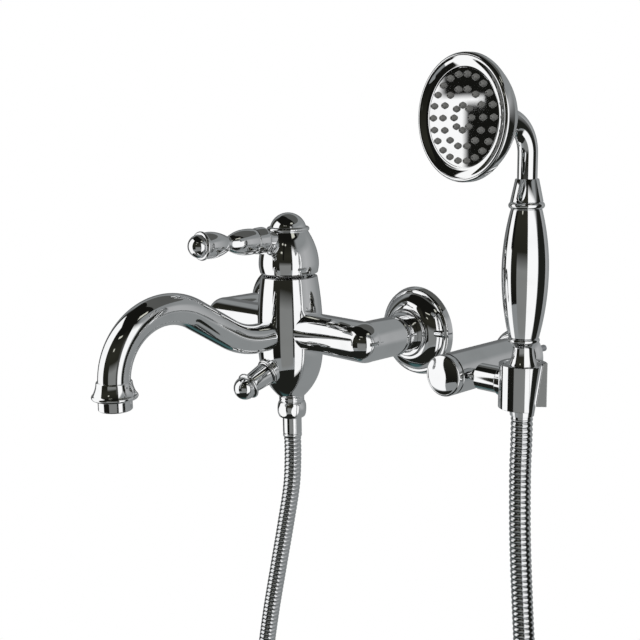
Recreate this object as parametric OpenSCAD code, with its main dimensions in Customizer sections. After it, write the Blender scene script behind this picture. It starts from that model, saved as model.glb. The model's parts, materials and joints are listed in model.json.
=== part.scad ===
// Wall-mounted single-lever bath mixer with hand shower, hose and wall holder.
// Millimetres. Wall plane at y = 0, front is -y, up is +z, x runs along the wall.
// The origin lies on the wall, midway between the two water inlets.

/* [Wall inlets] */
// Distance between the two inlet axes
inlet_pitch = 150; // [140:1:160]
// Distance of the body axis from the wall
axis_out = 56; // [52:1:64]
// Outside diameter of the G1/2 thread behind each rosette
stud_d = 20.96; // [20.5:0.01:21.2]
// Length of the thread that enters the wall
stud_len = 18; // [12:1:25]
// Outside diameter of the elbow arms
arm_d = 28; // [26:0.5:30]
// Water channel through the arms
arm_bore_d = 12; // [10:0.5:14]
// Distance of the arm ends from the wall
arm_gap = 25; // [23:0.5:30]
// Visible neck between rosette and arm
neck_d = 24.4; // [23.5:0.1:25]
// Water bore of the unions
union_bore_d = 13; // [11:0.5:14]
// Rosette diameter at the wall
rosette_d = 63; // [58:1:70]
// Rosette depth from the wall to its lip
rosette_depth = 15; // [12:0.5:18]
// Thickness of the union washers
washer_t = 1.4; // [1:0.1:2]

/* [Mixer body] */
// Largest body diameter
body_d = 47.6; // [47:0.2:52]
// Body diameter at the top rim
body_top_d = 41; // [40.6:0.2:42]
// Height of the top rim above the inlets
body_top_z = 38.3; // [37:0.1:40]
// Depth of the body foot below the inlets
body_foot_z = 51; // [49:0.5:54]
// Body diameter at its foot
foot_d = 18; // [17:0.2:20]
// Fullness of the lower belly curve
belly_power = 3.5; // [2.5:0.1:4.5]

/* [Cartridge] */
// Cartridge housing diameter
cartridge_d = 34.6; // [33:0.1:35]
// Floor of the cartridge seat above the inlets
seat_z = 9; // [8:0.5:11]
// Height of the tilt pivot above the inlets
pivot_z = 28; // [27.5:0.1:29]
// Square stem width
stem_w = 7.5; // [7:0.1:8]
// Pivot pin diameter
pin_d = 3; // [2.5:0.1:3.5]
// Largest lever lift that the yoke slot is cut for
lift_deg = 20; // [15:1:21]

/* [Hood and lever] */
// Open gap between body rim and hood rim
hood_gap = 2.5; // [2.2:0.1:4]
// Hood diameter at its rim
hood_rim_d = 41.6; // [41.2:0.1:42.4]
// Largest hood diameter
hood_d = 43.4; // [42.6:0.2:46]
// Hood diameter under the top bead
hood_neck_d = 29.6; // [28:0.2:32]
// Height of the hood from rim to the seat of the finial
hood_h = 33.2; // [31:0.2:36]
// Radius of the ball-shaped finial
finial_r = 13.4; // [12.6:0.1:14]
// Hood wall thickness
hood_wall = 1.5; // [1.2:0.1:1.8]
// Height of the lever axis above the hood rim
lever_z = 24.6; // [24:0.1:26]
// Upward slope of the lever
lever_rise = 1.2; // [0:0.1:5]
// Reach of the lever tip from the body axis
lever_reach = 87; // [84:0.2:100]
// Largest diameter of the turned bulbs on the lever
lever_bulb_d = 18.2; // [16:0.1:19]
// Diameter of the lever ball
lever_ball_d = 16; // [15:0.1:18]

/* [Spout] */
// Reach of the outlet axis from the body axis
spout_reach = 150; // [145:1:165]
// Spout tube diameter
spout_d = 21; // [19:0.2:22]
// Spout water bore
spout_bore_d = 16; // [14:0.2:17]
// Height of the spout root axis, below the inlets
spout_root_z = 3; // [2.5:0.1:4]
// Height of the tube axis at the top of the arch
spout_top_z = 28.3; // [24:0.1:34]
// Radius of the large arch
arch_r = 42; // [38:0.5:45]
// Radius of the root bend
root_bend_r = 50; // [44:0.5:54]
// Slope of the straight run
spout_slope = 31.5; // [28:0.5:35]
// Diameter of the bead on the outlet bell
bell_d = 29.8; // [28:0.2:32]
// Height of the outlet bell
bell_h = 12; // [10:0.2:14]
// Aerator diameter
aerator_d = 21.9; // [21.4:0.1:22.6]
// Length of the aerator below the bell
aerator_show = 6.6; // [5:0.1:9]

/* [Diverter] */
// Height of the diverter axis at the body axis, below the inlets
diverter_z = 21; // [20:0.5:22]
// Downward tilt of the diverter axis
diverter_tilt = 20; // [18:0.5:22]
// Pull travel of the diverter
diverter_travel = 8; // [6:0.5:8.5]
// Diverter stem diameter
diverter_stem_d = 6; // [5:0.1:6.6]
// Largest diameter of the diverter knob
knob_d = 18; // [16:0.2:20]
// Diameter of the diverter ball
knob_ball_d = 16.6; // [15:0.2:17.4]

/* [Hose] */
// Outside diameter of the metal hose
hose_d = 12.8; // [12:0.1:13.4]
// Hose bore
hose_bore_d = 8; // [6:0.1:9]
// Number of ribs along the hose
hose_ribs = 165; // [100:5:200]
// Thread diameter of the hose ends, G3/8
hose_thread_d = 16.66; // [16.4:0.01:16.8]
// Hose nut diameter
nut_d = 21.8; // [20.4:0.1:23]
// Hose nut height
nut_h = 12; // [11.5:0.5:16]
// Length of the lower ferrule below the nut
ferrule_show = 15.5; // [12:0.5:18]
// Ferrule diameter
ferrule_d = 14; // [13.2:0.1:14.4]

/* [Holder] */
// Position of the holder arm along the wall
holder_x = 163; // [158:1:180]
// Height of the holder arm above the inlets
holder_z = -4; // [-8:0.5:0]
// Projection of the holder arm from the wall
holder_out = 78.5; // [76:0.5:84]
// Rise of the domed front cap
cap_dome = 2.6; // [1.5:0.1:4]
// Diameter of the holder arm
holder_d = 25.6; // [25:0.1:28]
// Diameter of the wall flange
flange_d = 35; // [33:0.5:40]
// Depth of the wall flange
flange_depth = 9; // [8:0.5:11]
// Distance of the clip axis from the wall
clip_out = 64; // [62:0.5:66]
// Distance of the clip axis from the holder arm axis
clip_side = 47; // [46:0.5:52]
// Outside diameter of the clip
clip_d = 27.8; // [27:0.1:30]
// Height of the clip
clip_h = 26; // [25:0.5:30]
// Height of the clip top above the holder axis
clip_rise = 12.8; // [10.5:0.1:13.5]
// Width of the clip mouth, a little more than the hose
mouth_w = 13.8; // [13.5:0.1:15]
// Half angle of the flared lead into the clip mouth
mouth_flare = 38; // [34:1:44]
// Diameter of the turning stub
stub_d = 16; // [15:0.1:17]
// Diameter of the pivot inside the holder arm
pivot_d = 5.6; // [5:0.1:7]

/* [Hand shower] */
// Diameter of the cone nut at its top
cone_d = 22; // [21:0.1:22.4]
// Diameter of the cone nut at the clip's lower end
cone_small_d = 15.2; // [15:0.1:17]
// Diameter of the slim shank above the clip
shank_d = 13.6; // [12.4:0.1:15]
// Largest diameter of the grip
grip_d = 26.4; // [22:0.1:28]
// Diameter at the grip ends
grip_end_d = 17.4; // [16:0.1:18]
// Height of the grip
grip_h = 73; // [68:0.5:82]
// Height of the grip's lower end above the clip
grip_z = 15.6; // [15:0.1:18]
// Diameter of the bent neck tube
tube_d = 11.2; // [10:0.1:12]
// Radius of the neck bend
neck_bend_r = 20; // [18:0.5:24]
// Height of the head axis above the clip
head_z = 139.2; // [138:0.1:146]
// Distance of the spray face from the handset axis
head_out = 52; // [51:0.5:56]
// Yaw of the head towards the mixer
head_yaw = 7; // [0:1:12]
// Head diameter
head_d = 67; // [64:0.5:72]
// Diameter of the spray face inside the bezel
face_d = 51.6; // [51:0.2:54]
// Diameter of one nozzle
nozzle_d = 3.5; // [3:0.1:4]

/* [Fits] */
// Radial clearance of threads and plugged parts
fit = 0.15; // [0.1:0.01:0.2]
// Radial clearance between parts that move on each other
run = 0.3; // [0.25:0.01:0.35]

/* [Hidden] */
$fn = 96;
// Extra depth that keeps cuts open
eps = 0.5;
// Lap of the straight tubes over their bends
lap = 0.6;
chrome = [0.84, 0.86, 0.88];
brass = [0.80, 0.66, 0.34];
steel = [0.62, 0.64, 0.66];
black = [0.10, 0.10, 0.11];
grey = [0.36, 0.38, 0.40];
white = [0.92, 0.91, 0.88];
plastic = [0.72, 0.73, 0.70];

// Wall inlet places
stud_r = stud_d / 2;
neck_r = neck_d / 2;
union_thread_r = 10;
union_plug = 9;

// Mixer body places
belly_z = -2;
bore_r = cartridge_d / 2 + fit;
ring_z = seat_z + 24;
nut_thread_r = bore_r + 1.05;
chamber_r = 11.5;
chamber_top = -9;
chamber_low = -36;
nipple_r = 8.2;

// Cartridge places
gasket_t = 1;
base_z = seat_z + gasket_t;
disc_z = base_z + 3;
slide_z = disc_z + 4;
yoke_z = slide_z + 4.4;
cavity_r = cartridge_d / 2 - 3.3;
collar_r = 12.4;
collar_top = body_top_z + 1.3;
yoke_r = 9.9;

// Hood places
rim_z = body_top_z + hood_gap;
hood_top = rim_z + hood_h;
hood_belly_z = rim_z + 6.5;
hood_bead_z = hood_top - 1.7;
lever_axis_z = rim_z + lever_z;
stem_top = rim_z + 20;
boss_low = rim_z + 5.5;
lever_seat = hood_neck_d / 2 + 2.6;
lever_root_r = 6.4;
lever_waist_r = 4.6;
lever_collar = lever_seat + 7.6;

// Plain length of the inlet stud at the wall
stud_relief = 1.5;

// Spout places
arch_y = -(axis_out + spout_reach - arch_r);
arch_z = spout_top_z - arch_r;
run_l = (arch_z + arch_r * cos(spout_slope) + spout_root_z
         - root_bend_r * (1 - cos(spout_slope))) / sin(spout_slope);
root_y = arch_y + (arch_r + root_bend_r) * sin(spout_slope) + run_l * cos(spout_slope);
spigot_r = spout_d / 2 - 1;
spigot_deep = 13;
root_face = body_d / 2 - 0.8;
outlet_y = -(axis_out + spout_reach);
bell_top = arch_z + 1.7;
bell_low = bell_top - bell_h;

// Diverter places, measured along its axis from the body axis
div_face = body_d / 2 + 0.8;
div_bush = 16;
div_flange = 1.4;
knob_at = div_face + div_flange + 0.6;
knob_ring = knob_at + 16.8;
knob_ball = knob_ring + 3;

// Hose outlet places
nipple_low = body_foot_z + 3;
nut_top = nipple_low + 0.5;
nut_low = nut_top + nut_h;
seal_z = nut_low - 5.6;
hose_top_z = -(nut_low + ferrule_show);

// Holder and hand shower places
wall_boss_r = 9.4;
plate_lip = 1.4;
clip_x = holder_x + clip_side;
clip_r = clip_d / 2;
clip_top = holder_z + clip_rise;
clip_low = clip_top - clip_h;
stub_r = stub_d / 2;
pivot_r = pivot_d / 2;
boss_x = holder_x + holder_d / 2 + 3.2;
friction_t = 0.8;
stub_x = boss_x + friction_t + 0.2;
pad_x = clip_x - clip_r - 0.4;
cone_slope = (cone_d - cone_small_d) / 2 / clip_h;
cone_top = clip_top - 0.6;
cone_low = clip_low - 5;
hand_seat = cone_top - 13.4;
hose_low_z = clip_low - 6.8;
grip_low = clip_top + grip_z;
grip_top = grip_low + grip_h;
bend_z = clip_top + head_z - neck_bend_r;
head_r = head_d / 2;
head_back = head_out - 25;
rim_back = head_out - 5.8;
plate_back = head_out - 3.4;
mat_back = plate_back - 1.6;

// Nozzle circles as radius and count
NOZZLES = [[22.4, 22], [14.9, 14], [6.4, 8]];

// Hose route from the mixer to the hand shower, hanging in one loop
HOSE_ROUTE = [
    [0, -axis_out, hose_top_z + 15],
    [0, -axis_out, hose_top_z],
    [0, -axis_out, hose_top_z - 15],
    [-1, -57, -120],
    [-4, -61, -150],
    [-8, -66, -185],
    [-13, -71, -225],
    [-18, -75, -270],
    [-22, -78, -320],
    [-23, -80, -370],
    [-20, -81, -415],
    [-12, -82, -458],
    [3, -82, -496],
    [25, -82, -528],
    [54, -82, -552],
    [88, -82, -564],
    [123, -82, -564],
    [157, -82, -552],
    [187, -82, -528],
    [209, -82, -496],
    [225, -81, -458],
    [233, -80, -415],
    [236, -78, -370],
    [235, -76, -320],
    [231, -74, -270],
    [226, -72, -225],
    [221, -70, -180],
    [216, -68, -135],
    [212, -66, -95],
    [clip_x, -clip_out - 0.5, hose_low_z - 34],
    [clip_x, -clip_out, hose_low_z - 15],
    [clip_x, -clip_out, hose_low_z],
    [clip_x, -clip_out, hose_low_z + 15]
];

// Piece to draw, or all

// Helper curves and placements

// Points of a curve that starts along the axis at r0, z0 and turns towards r1, z1
function swell(r0, z0, r1, z1, p, n) =
    [for (i = [0 : n]) let (t = i / n) [r1 + (r0 - r1) * (1 - pow(t, p)), z0 + (z1 - z0) * t]];

// Points of a bulb between two radii, with a given rise in the middle
function bulb(z0, ra, z1, rb, rise, n) =
    [for (i = [0 : n]) let (t = i / n) [ra + (rb - ra) * t + rise * sin(180 * t), z0 + (z1 - z0) * t]];

// Points of an arc round c, r in the turning plane
function arc(cx, cz, r, a0, a1, n) =
    [for (i = [0 : n]) let (a = a0 + (a1 - a0) * i / n) [cx + r * cos(a), cz + r * sin(a)]];

// The same list from its far end
function turned(pts) = [for (i = [len(pts) - 1 : -1 : 0]) pts[i]];

// Places children on the body axis
module at_body() {
    translate([0, -axis_out, 0]) children();
}

// Turns local z to the front, away from the wall
module facing() {
    rotate([90, 0, 0]) children();
}

// Turns local z along the wall, to the right
module sideways() {
    rotate([0, 90, 0]) children();
}

// Revolves a closed outline of radius and height pairs
module turn(pts) {
    rotate_extrude() polygon(pts);
}

// A plain tube from z0 to z1
module tube(r_out, r_in, z0, z1) {
    difference() {
        translate([0, 0, z0]) cylinder(r = r_out, h = z1 - z0);
        translate([0, 0, z0 - eps]) cylinder(r = r_in, h = z1 - z0 + 2 * eps);
    }
}

// A solid rod from z0 to z1
module rod(r, z0, z1) {
    translate([0, 0, z0]) cylinder(r = r, h = z1 - z0);
}

// A torus ring of wire radius w
module ring(r, w, z) {
    translate([0, 0, z]) rotate_extrude() translate([r, 0]) circle(r = w, $fn = 32);
}

// Places children on the diverter axis, local z pointing out
module at_diverter() {
    at_body() translate([0, 0, -diverter_z]) rotate([90 + diverter_tilt, 0, 0]) children();
}

// Places children on the outlet axis
module at_outlet() {
    translate([0, outlet_y, 0]) children();
}

// Places children on the holder arm axis, local z pointing out of the wall
module at_holder() {
    translate([holder_x, 0, holder_z]) facing() children();
}

// Places children on the clip and hand shower axis
module at_clip() {
    translate([clip_x, -clip_out, 0]) children();
}

// Places children on the clip pivot, local z along the wall
module at_pivot() {
    translate([0, -clip_out, holder_z]) sideways() children();
}

// Places children on the head axis, local z pointing to the spray side
module at_head() {
    at_clip() translate([0, 0, clip_top + head_z]) rotate([0, 0, -head_yaw]) facing() children();
}

// Wall inlets

// Union that joins the wall fitting to one elbow arm
module inlet_union(side) {
    color(brass) translate([side * inlet_pitch / 2, 0, 0]) facing() turn([
        [union_bore_d / 2, -stud_len], [stud_r - 1, -stud_len], [stud_r, -stud_len + 1],
        [stud_r, -stud_relief], [stud_r - 0.9, -stud_relief], [stud_r - 0.9, 0],
        [neck_r, 0], [neck_r, arm_gap - washer_t],
        [union_thread_r, arm_gap - washer_t], [union_thread_r, arm_gap + union_plug],
        [union_bore_d / 2, arm_gap + union_plug]
    ]);
}

module inlet_union_left() {
    inlet_union(-1);
}

module inlet_union_right() {
    inlet_union(1);
}

// Outer curve of a rosette from the wall to its lip
function rosette_curve(off) = concat(
    [[rosette_d / 2 - 1.6 - off, 0]],
    arc(rosette_d / 2 - 2.2 - off, 2.6, 2.2, -40, 70, 6),
    [for (i = [0 : 8]) let (t = i / 8)
        [rosette_d / 2 - 4 - off - (rosette_d / 2 - 4 - neck_r - 4.6) * t,
         5.2 + (rosette_depth - 6.8) * pow(sin(90 * t), 0.75)]]
);

// Bell-shaped rosette that hides the wall hole
module rosette(side) {
    lip_r = neck_r + 4.2;
    color(chrome) translate([side * inlet_pitch / 2, 0, 0]) facing() difference() {
        turn(concat(
            [[neck_r + fit, 0]], rosette_curve(0),
            [[lip_r, rosette_depth - 1], [lip_r - 0.8, rosette_depth], [neck_r + fit, rosette_depth]]
        ));
        translate([0, 0, -eps]) turn([
            [neck_r + fit + 1.6, 0], [rosette_d / 2 - 3.4, 0], [rosette_d / 2 - 3.4, eps + 3.2],
            [rosette_d / 2 - 9, eps + 5.4], [neck_r + 6.5, eps + rosette_depth - 5.2],
            [neck_r + fit + 1.6, eps + rosette_depth - 4.2]
        ]);
    }
}

module rosette_left() {
    rosette(-1);
}

module rosette_right() {
    rosette(1);
}

module union_washers() {
    color(black) for (side = [-1, 1]) translate([side * inlet_pitch / 2, 0, 0]) facing()
        tube(neck_r + 0.9, union_thread_r + fit, arm_gap - washer_t, arm_gap);
}

// Dirt strainers inside the unions, a cup with a row of holes
module inlet_strainers() {
    cup_r = union_bore_d / 2 - fit;
    color(steel) for (side = [-1, 1]) translate([side * inlet_pitch / 2, 0, 0]) facing()
        difference() {
            rod(cup_r, 6, 12);
            rod(cup_r - 0.8, 7, 12 + eps);
            rod(0.8, 5, 8);
            for (i = [0 : 5]) rotate([0, 0, 60 * i]) translate([3.2, 0, 0]) rod(0.8, 5, 8);
        }
}

// Mixer body

// Height curve of the body from its foot to its top rim
function body_curve(off) = concat(
    turned(swell(body_d / 2 - off, belly_z, foot_d / 2 - off, -body_foot_z, belly_power, 14)),
    [for (i = [1 : 8]) let (t = i / 8)
        [body_top_d / 2 - off + (body_d - body_top_d) / 2 * (1 - t * t),
         belly_z + (body_top_z - belly_z) * t]]
);

// One elbow arm: a rounded capsule along the wall and a tube back to the union
module elbow_arm(side) {
    arm_r = arm_d / 2;
    translate([side * inlet_pitch / 2, -axis_out, 0]) {
        sideways() mirror([0, 0, side > 0 ? 1 : 0]) turn(concat(
            [[0, inlet_pitch / 2 - 10], [arm_r, inlet_pitch / 2 - 10]],
            turned(arc(0, 0, arm_r, -90, 0, 10))
        ));
        rotate([-90, 0, 0]) rod(arm_r - 0.3, 0, axis_out - arm_gap);
    }
}

// Water channel of one elbow arm, with its union seat
module arm_channel(side) {
    channel_r = arm_bore_d / 2;
    translate([side * inlet_pitch / 2, -axis_out, 0]) {
        rotate([0, -90 * side, 0]) rod(channel_r, 0, inlet_pitch / 2 - 6);
        rotate([-90, 0, 0]) {
            rod(channel_r, -channel_r, axis_out - arm_gap);
            rod(union_thread_r + fit, axis_out - arm_gap - union_plug - 1, axis_out - arm_gap + eps);
        }
    }
    at_body() translate([side * 9, 0, 0]) rod(3, 0, seat_z + eps);
}

// Cast body with cartridge seat, spout socket, diverter chamber and hose socket
module mixer_body() {
    color(chrome) difference() {
        union() {
            at_body() turn(concat([[0, -body_foot_z]], body_curve(0), [[0, body_top_z]]));
            elbow_arm(-1);
            elbow_arm(1);
            at_diverter() rod(9.7, 8, div_face);
            at_body() translate([0, 0, -spout_root_z]) facing() rod(spout_d / 2 - 0.05, 8, root_face);
        }
        at_body() {
            rod(bore_r, seat_z, body_top_z + eps);
            rod(nut_thread_r + fit, ring_z - 0.3, body_top_z + eps);
            rod(chamber_r, chamber_low, chamber_top);
            rod(nipple_r + fit, -body_foot_z - eps, chamber_low + eps);
            translate([0, 10.5, 0]) rod(3, chamber_top - eps, seat_z + eps);
            translate([0, 0, -spout_root_z]) facing()
                rod(spigot_r + fit, root_face - spigot_deep, root_face + eps);
            translate([0, 0, -spout_root_z]) facing() rod(spout_d / 2 + fit, root_face, body_d);
        }
        at_diverter() rod(8, 6, div_face + eps);
        arm_channel(-1);
        arm_channel(1);
    }
}

// Cartridge

// Flat gasket under the cartridge with three ports
module cartridge_seal() {
    color(black) at_body() difference() {
        rod(bore_r - 0.6, seat_z, base_z);
        ports(3.2, seat_z - eps, base_z + eps);
    }
}

// The two inlet ports and the mixed water port
module ports(r, z0, z1) {
    for (x = [-9, 9]) translate([x, 0, 0]) rod(r, z0, z1);
    translate([0, 10.5, 0]) rod(r, z0, z1);
}

module cartridge_housing() {
    color(plastic) at_body() difference() {
        turn([
            [0, base_z], [cartridge_d / 2, base_z], [cartridge_d / 2, ring_z], [collar_r, ring_z],
            [collar_r, collar_top], [yoke_r + run, collar_top], [yoke_r + run, ring_z - 2],
            [cavity_r, ring_z - 2], [cavity_r, disc_z], [0, disc_z]
        ]);
        ports(2.6, base_z - eps, disc_z + eps);
    }
}

module ceramic_fixed_disc() {
    color(white) at_body() difference() {
        rod(cavity_r - fit, disc_z, slide_z);
        ports(2.4, disc_z - eps, slide_z + eps);
    }
}

// Ring nut that clamps the cartridge, with spanner notches
module cartridge_nut() {
    top = body_top_z + 0.9;
    color(brass) at_body() difference() {
        turn([
            [collar_r + fit, ring_z], [nut_thread_r, ring_z], [nut_thread_r, top - 0.8],
            [nut_thread_r - 0.8, top], [collar_r + fit, top]
        ]);
        for (a = [0 : 60 : 300]) rotate([0, 0, a]) translate([nut_thread_r - 1.2, -2, top - 1.6])
            cube([4, 4, 4]);
    }
}

// Swivelling yoke with the slot in which the stem tilts
module cartridge_yoke() {
    low_y = (pivot_z - yoke_z) * tan(lift_deg) + stem_w / 2 / cos(lift_deg) + 0.5;
    top_y = (collar_top + 1.5 - pivot_z) * tan(lift_deg) + stem_w / 2 / cos(lift_deg) + 0.1;
    half = stem_w / 2 + 0.5;
    color(plastic) at_body() difference() {
        turn([
            [0, yoke_z], [cavity_r - run, yoke_z], [cavity_r - run, ring_z - 2.3],
            [yoke_r, ring_z - 2.3], [yoke_r, collar_top + 0.9], [0, collar_top + 0.9]
        ]);
        translate([-stem_w / 2 - run, 0, 0]) sideways() linear_extrude(stem_w + 2 * run) polygon([
            [-yoke_z - 1, -low_y], [-yoke_z - 1, half], [-pivot_z, half],
            [-collar_top - 1.5, top_y], [-collar_top - 1.5, -half], [-pivot_z, -half]
        ]);
        translate([-cavity_r, 0, pivot_z]) sideways() rod(pin_d / 2 + 0.05, -1, 2 * cavity_r + 1);
    }
}

module ceramic_moving_disc() {
    color(white) at_body() difference() {
        rod(10, slide_z + 0.15, yoke_z);
        rod(5, slide_z, slide_z + 1.6);
    }
}

module pivot_pin() {
    color(steel) at_body() translate([0, 0, pivot_z]) sideways()
        rod(pin_d / 2, -cavity_r + 2, cavity_r - 2);
}

// Square stem that carries the hood
module cartridge_stem() {
    low = yoke_z + 1.4 + stem_w / 2 * sin(lift_deg);
    color(steel) at_body() difference() {
        translate([-stem_w / 2, -stem_w / 2, low]) cube([stem_w, stem_w, stem_top - low]);
        translate([0, 0, pivot_z]) sideways() rod(pin_d / 2 + run, -stem_w, stem_w);
        translate([0, 0, stem_top - 10]) facing() rod(2, 0, stem_w);
    }
}

// Hood and lever

// Outer curve of the hood from its rim to its top
function hood_curve(off) = concat(
    [for (i = [0 : 3]) let (t = i / 3)
        [hood_rim_d / 2 - off + (hood_d - hood_rim_d) / 2 * sin(90 * t),
         rim_z + (hood_belly_z - rim_z) * t]],
    [for (p = swell(hood_d / 2 - off, hood_belly_z, hood_neck_d / 2 - off, hood_bead_z - 2.6, 1.9, 10))
        if (p[1] > hood_belly_z + 0.1) p]
);

// Turned hood with a hanging wall, a square boss and a bead on top
module hood() {
    slope = lever_rise;
    color(chrome) at_body() difference() {
        turn(concat(
            [[0, rim_z]], hood_curve(0),
            arc(hood_neck_d / 2 - 1.2, hood_bead_z, 1.7, -70, 90, 8), [[0, hood_top]]
        ));
        difference() {
            translate([0, 0, -eps]) turn(concat(
                [[0, rim_z]], [[hood_rim_d / 2 - hood_wall, rim_z]],
                [[hood_d / 2 - hood_wall, hood_belly_z], [hood_d / 2 - hood_wall - 0.6, rim_z + 11],
                 [hood_d / 2 - hood_wall - 5, rim_z + 18], [0, rim_z + 18]]
            ));
            rod(7.6, boss_low, hood_top - 2);
        }
        translate([-stem_w / 2 - 0.1, -stem_w / 2 - 0.1, boss_low - eps])
            cube([stem_w + 0.2, stem_w + 0.2, stem_top - boss_low + eps]);
        translate([0, 0, lever_axis_z]) rotate([90 - slope, 0, 0]) {
            rod(3.1, 8, lever_seat + eps);
            rod(lever_root_r + fit, lever_seat, lever_seat + hood_d / 2);
        }
        translate([0, 0, stem_top - 10]) facing() rod(2 + fit, 0, 30);
        rod(4.1, hood_top - 5, hood_top + eps);
    }
}

// Ball-shaped finial screwed into the hood
module hood_finial() {
    centre_z = hood_top + finial_r * 0.74 - finial_r;
    color(chrome) at_body() {
        intersection() {
            translate([0, 0, centre_z]) sphere(r = finial_r);
            rod(finial_r + 1, hood_top, hood_top + 2 * finial_r);
        }
        rod(4, hood_top - 4.6, hood_top + 2);
    }
}

// Places children on the lever axis, local z counted from the body axis
module at_lever() {
    at_body() translate([0, 0, lever_axis_z]) rotate([90 - lever_rise, 0, 0]) children();
}

lever_ring = lever_reach - lever_ball_d / 2 - 1.5;

// Turned lever with a flared collar, two bulbs and an end ring
module lever() {
    bulb_r = lever_bulb_d / 2;
    mid = lever_ring - 22.6;
    groove = lever_collar + 7.6;
    color(chrome) at_lever() turn(concat(
        [[0, 10], [3, 10], [3, lever_seat]],
        bulb(lever_seat, lever_root_r, lever_collar - 3.4, lever_root_r - 0.2, -0.3, 4),
        arc(bulb_r - 2.8, lever_collar, 3.3, -88, 0, 6),
        [[bulb_r - 0.3, groove - 0.4], [bulb_r - 0.8, groove]],
        swell(bulb_r - 0.3, groove + 0.3, bulb_r, groove + 4.6, 0.6, 3),
        swell(bulb_r - 0.02, groove + 5.4, lever_waist_r, mid - 0.15, 2.3, 8),
        turned(swell(bulb_r, lever_ring - 6.6, lever_waist_r, mid + 0.15, 1.9, 8)),
        [[bulb_r - 0.6, lever_ring - 1.9]],
        arc(bulb_r - 0.8, lever_ring, 1.5, -75, 75, 6),
        [[5, lever_ring + 1.5], [2.4, lever_ring + 1.5], [2.4, lever_ring + 6], [0, lever_ring + 6]]
    ));
}

// Ball on the lever tip
module lever_ball() {
    ball_r = lever_ball_d / 2;
    color(chrome) at_lever() difference() {
        translate([0, 0, lever_reach - ball_r]) sphere(r = ball_r);
        rod(ball_r, lever_ring - 10, lever_ring + 1.6);
        rod(2.4 + fit, lever_ring, lever_ring + 6.2);
    }
}

// Grub screw that fixes the hood on its stem
module hood_grub_screw() {
    color(steel) at_body() translate([0, 0, stem_top - 10]) facing() difference() {
        rod(2, stem_w / 2 - 0.9, 14);
        rod(1, 12.4, 14 + eps);
    }
}

// Spout

// Part of a hollow ring in the plane of the body axis, angles counted from the wall side upwards.
// It is a hair thinner than the straight tubes, whose ends lap over it
module bend(ring_r, r, bore, a0, a1) {
    rotate([90, 0, 90]) rotate([0, 0, a0]) rotate_extrude(angle = a1 - a0) translate([ring_r, 0])
        difference() {
            circle(r = r - 0.05);
            circle(r = bore + 0.05);
        }
}

// Swan-neck tube: turned root, root bend, straight run and arch
module spout() {
    r = spout_d / 2;
    bore = spout_bore_d / 2;
    groove = spigot_r - 1.2;
    root_end = -root_y - axis_out + lap;
    color(chrome) {
        at_body() translate([0, 0, -spout_root_z]) facing() turn(concat(
            [[bore, root_face - spigot_deep + 0.6], [spigot_r, root_face - spigot_deep + 0.6],
             [spigot_r, root_face - 7], [groove, root_face - 7], [groove, root_face - 4.6],
             [spigot_r, root_face - 4.6], [spigot_r, root_face]],
            [[r, root_face], [r, root_end], [bore, root_end]]
        ));
        translate([0, root_y, root_bend_r - spout_root_z])
            bend(root_bend_r, r, bore, -90 - spout_slope, -90);
        translate([0, arch_y + arch_r * sin(spout_slope), arch_z + arch_r * cos(spout_slope)])
            rotate([-90 - spout_slope, 0, 0]) tube(r, bore, -lap, run_l + lap);
        translate([0, arch_y, arch_z]) bend(arch_r, r, bore, 90 - spout_slope, 180);
    }
}

// O-ring in the groove of the spout root
module spout_seal() {
    color(black) at_body() translate([0, 0, -spout_root_z]) facing()
        tube(spigot_r + 0.1, spigot_r - 1.15, root_face - 6.9, root_face - 4.7);
}

// Flared bell at the outlet
module outlet_bell() {
    bead_r = bell_d / 2;
    color(chrome) at_outlet() turn(concat(
        [[spout_d / 2 + 0.05, bell_top], [spout_d / 2 + 1.1, bell_top]],
        [for (i = [0 : 6]) let (t = i / 6)
            [spout_d / 2 + 1.1 + (bead_r - 2.2 - spout_d / 2) * pow(t, 1.8), bell_top - 0.6 - (bell_h - 4.6) * t]],
        arc(bead_r - 1.6, bell_low + 2.2, 1.6, 60, -60, 6),
        [[aerator_d / 2 + 1.1, bell_low + 0.5], [aerator_d / 2 + 1.1, bell_low],
         [spout_d / 2 - 0.9, bell_low], [spout_d / 2 - 0.9, arch_z - 0.02], [spout_d / 2 + 0.05, arch_z - 0.02]]
    ));
}

// Aerator shell screwed into the bell
module aerator_housing() {
    shell_r = aerator_d / 2;
    color(chrome) at_outlet() turn([
        [shell_r - 1.4, bell_low - aerator_show], [shell_r - 0.5, bell_low - aerator_show],
        [shell_r, bell_low - aerator_show + 0.5], [shell_r, bell_low],
        [spout_d / 2 - 0.9 - fit, bell_low], [spout_d / 2 - 0.9 - fit, bell_low + 4.6],
        [shell_r - 2.6, bell_low + 4.6], [shell_r - 2.6, bell_low - aerator_show + 1.6],
        [shell_r - 1.4, bell_low - aerator_show + 1.6]
    ]);
}

// Plastic stream former with a ring of slots
module aerator_insert() {
    core_r = aerator_d / 2 - 2.6 - 0.05;
    low = bell_low - aerator_show + 1.6;
    color(plastic) at_outlet() difference() {
        rod(core_r, low, low + 3);
        for (x = [-6 : 2.4 : 6]) for (y = [-6 : 2.4 : 6])
            if (norm([x, y]) < core_r - 1.2) translate([x - 0.8, y - 0.8, low - eps]) cube([1.6, 1.6, 4]);
    }
}

module aerator_washer() {
    color(black) at_outlet() tube(spout_d / 2 - 1, spout_bore_d / 2 - 1, bell_low + 4.6, arch_z - 0.02);
}

// Diverter

// Screwed bush that guides the stem
module diverter_bush() {
    rod_r = diverter_stem_d / 2;
    color(chrome) at_diverter() difference() {
        turn([
            [rod_r + run, div_bush], [8 - fit, div_bush], [8 - fit, div_face], [knob_d / 2, div_face],
            [knob_d / 2, div_face + 0.8], [knob_d / 2 - 0.6, div_face + div_flange],
            [rod_r + run, div_face + div_flange]
        ]);
        rod(6, div_bush - eps, div_face - 3);
    }
}

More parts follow.
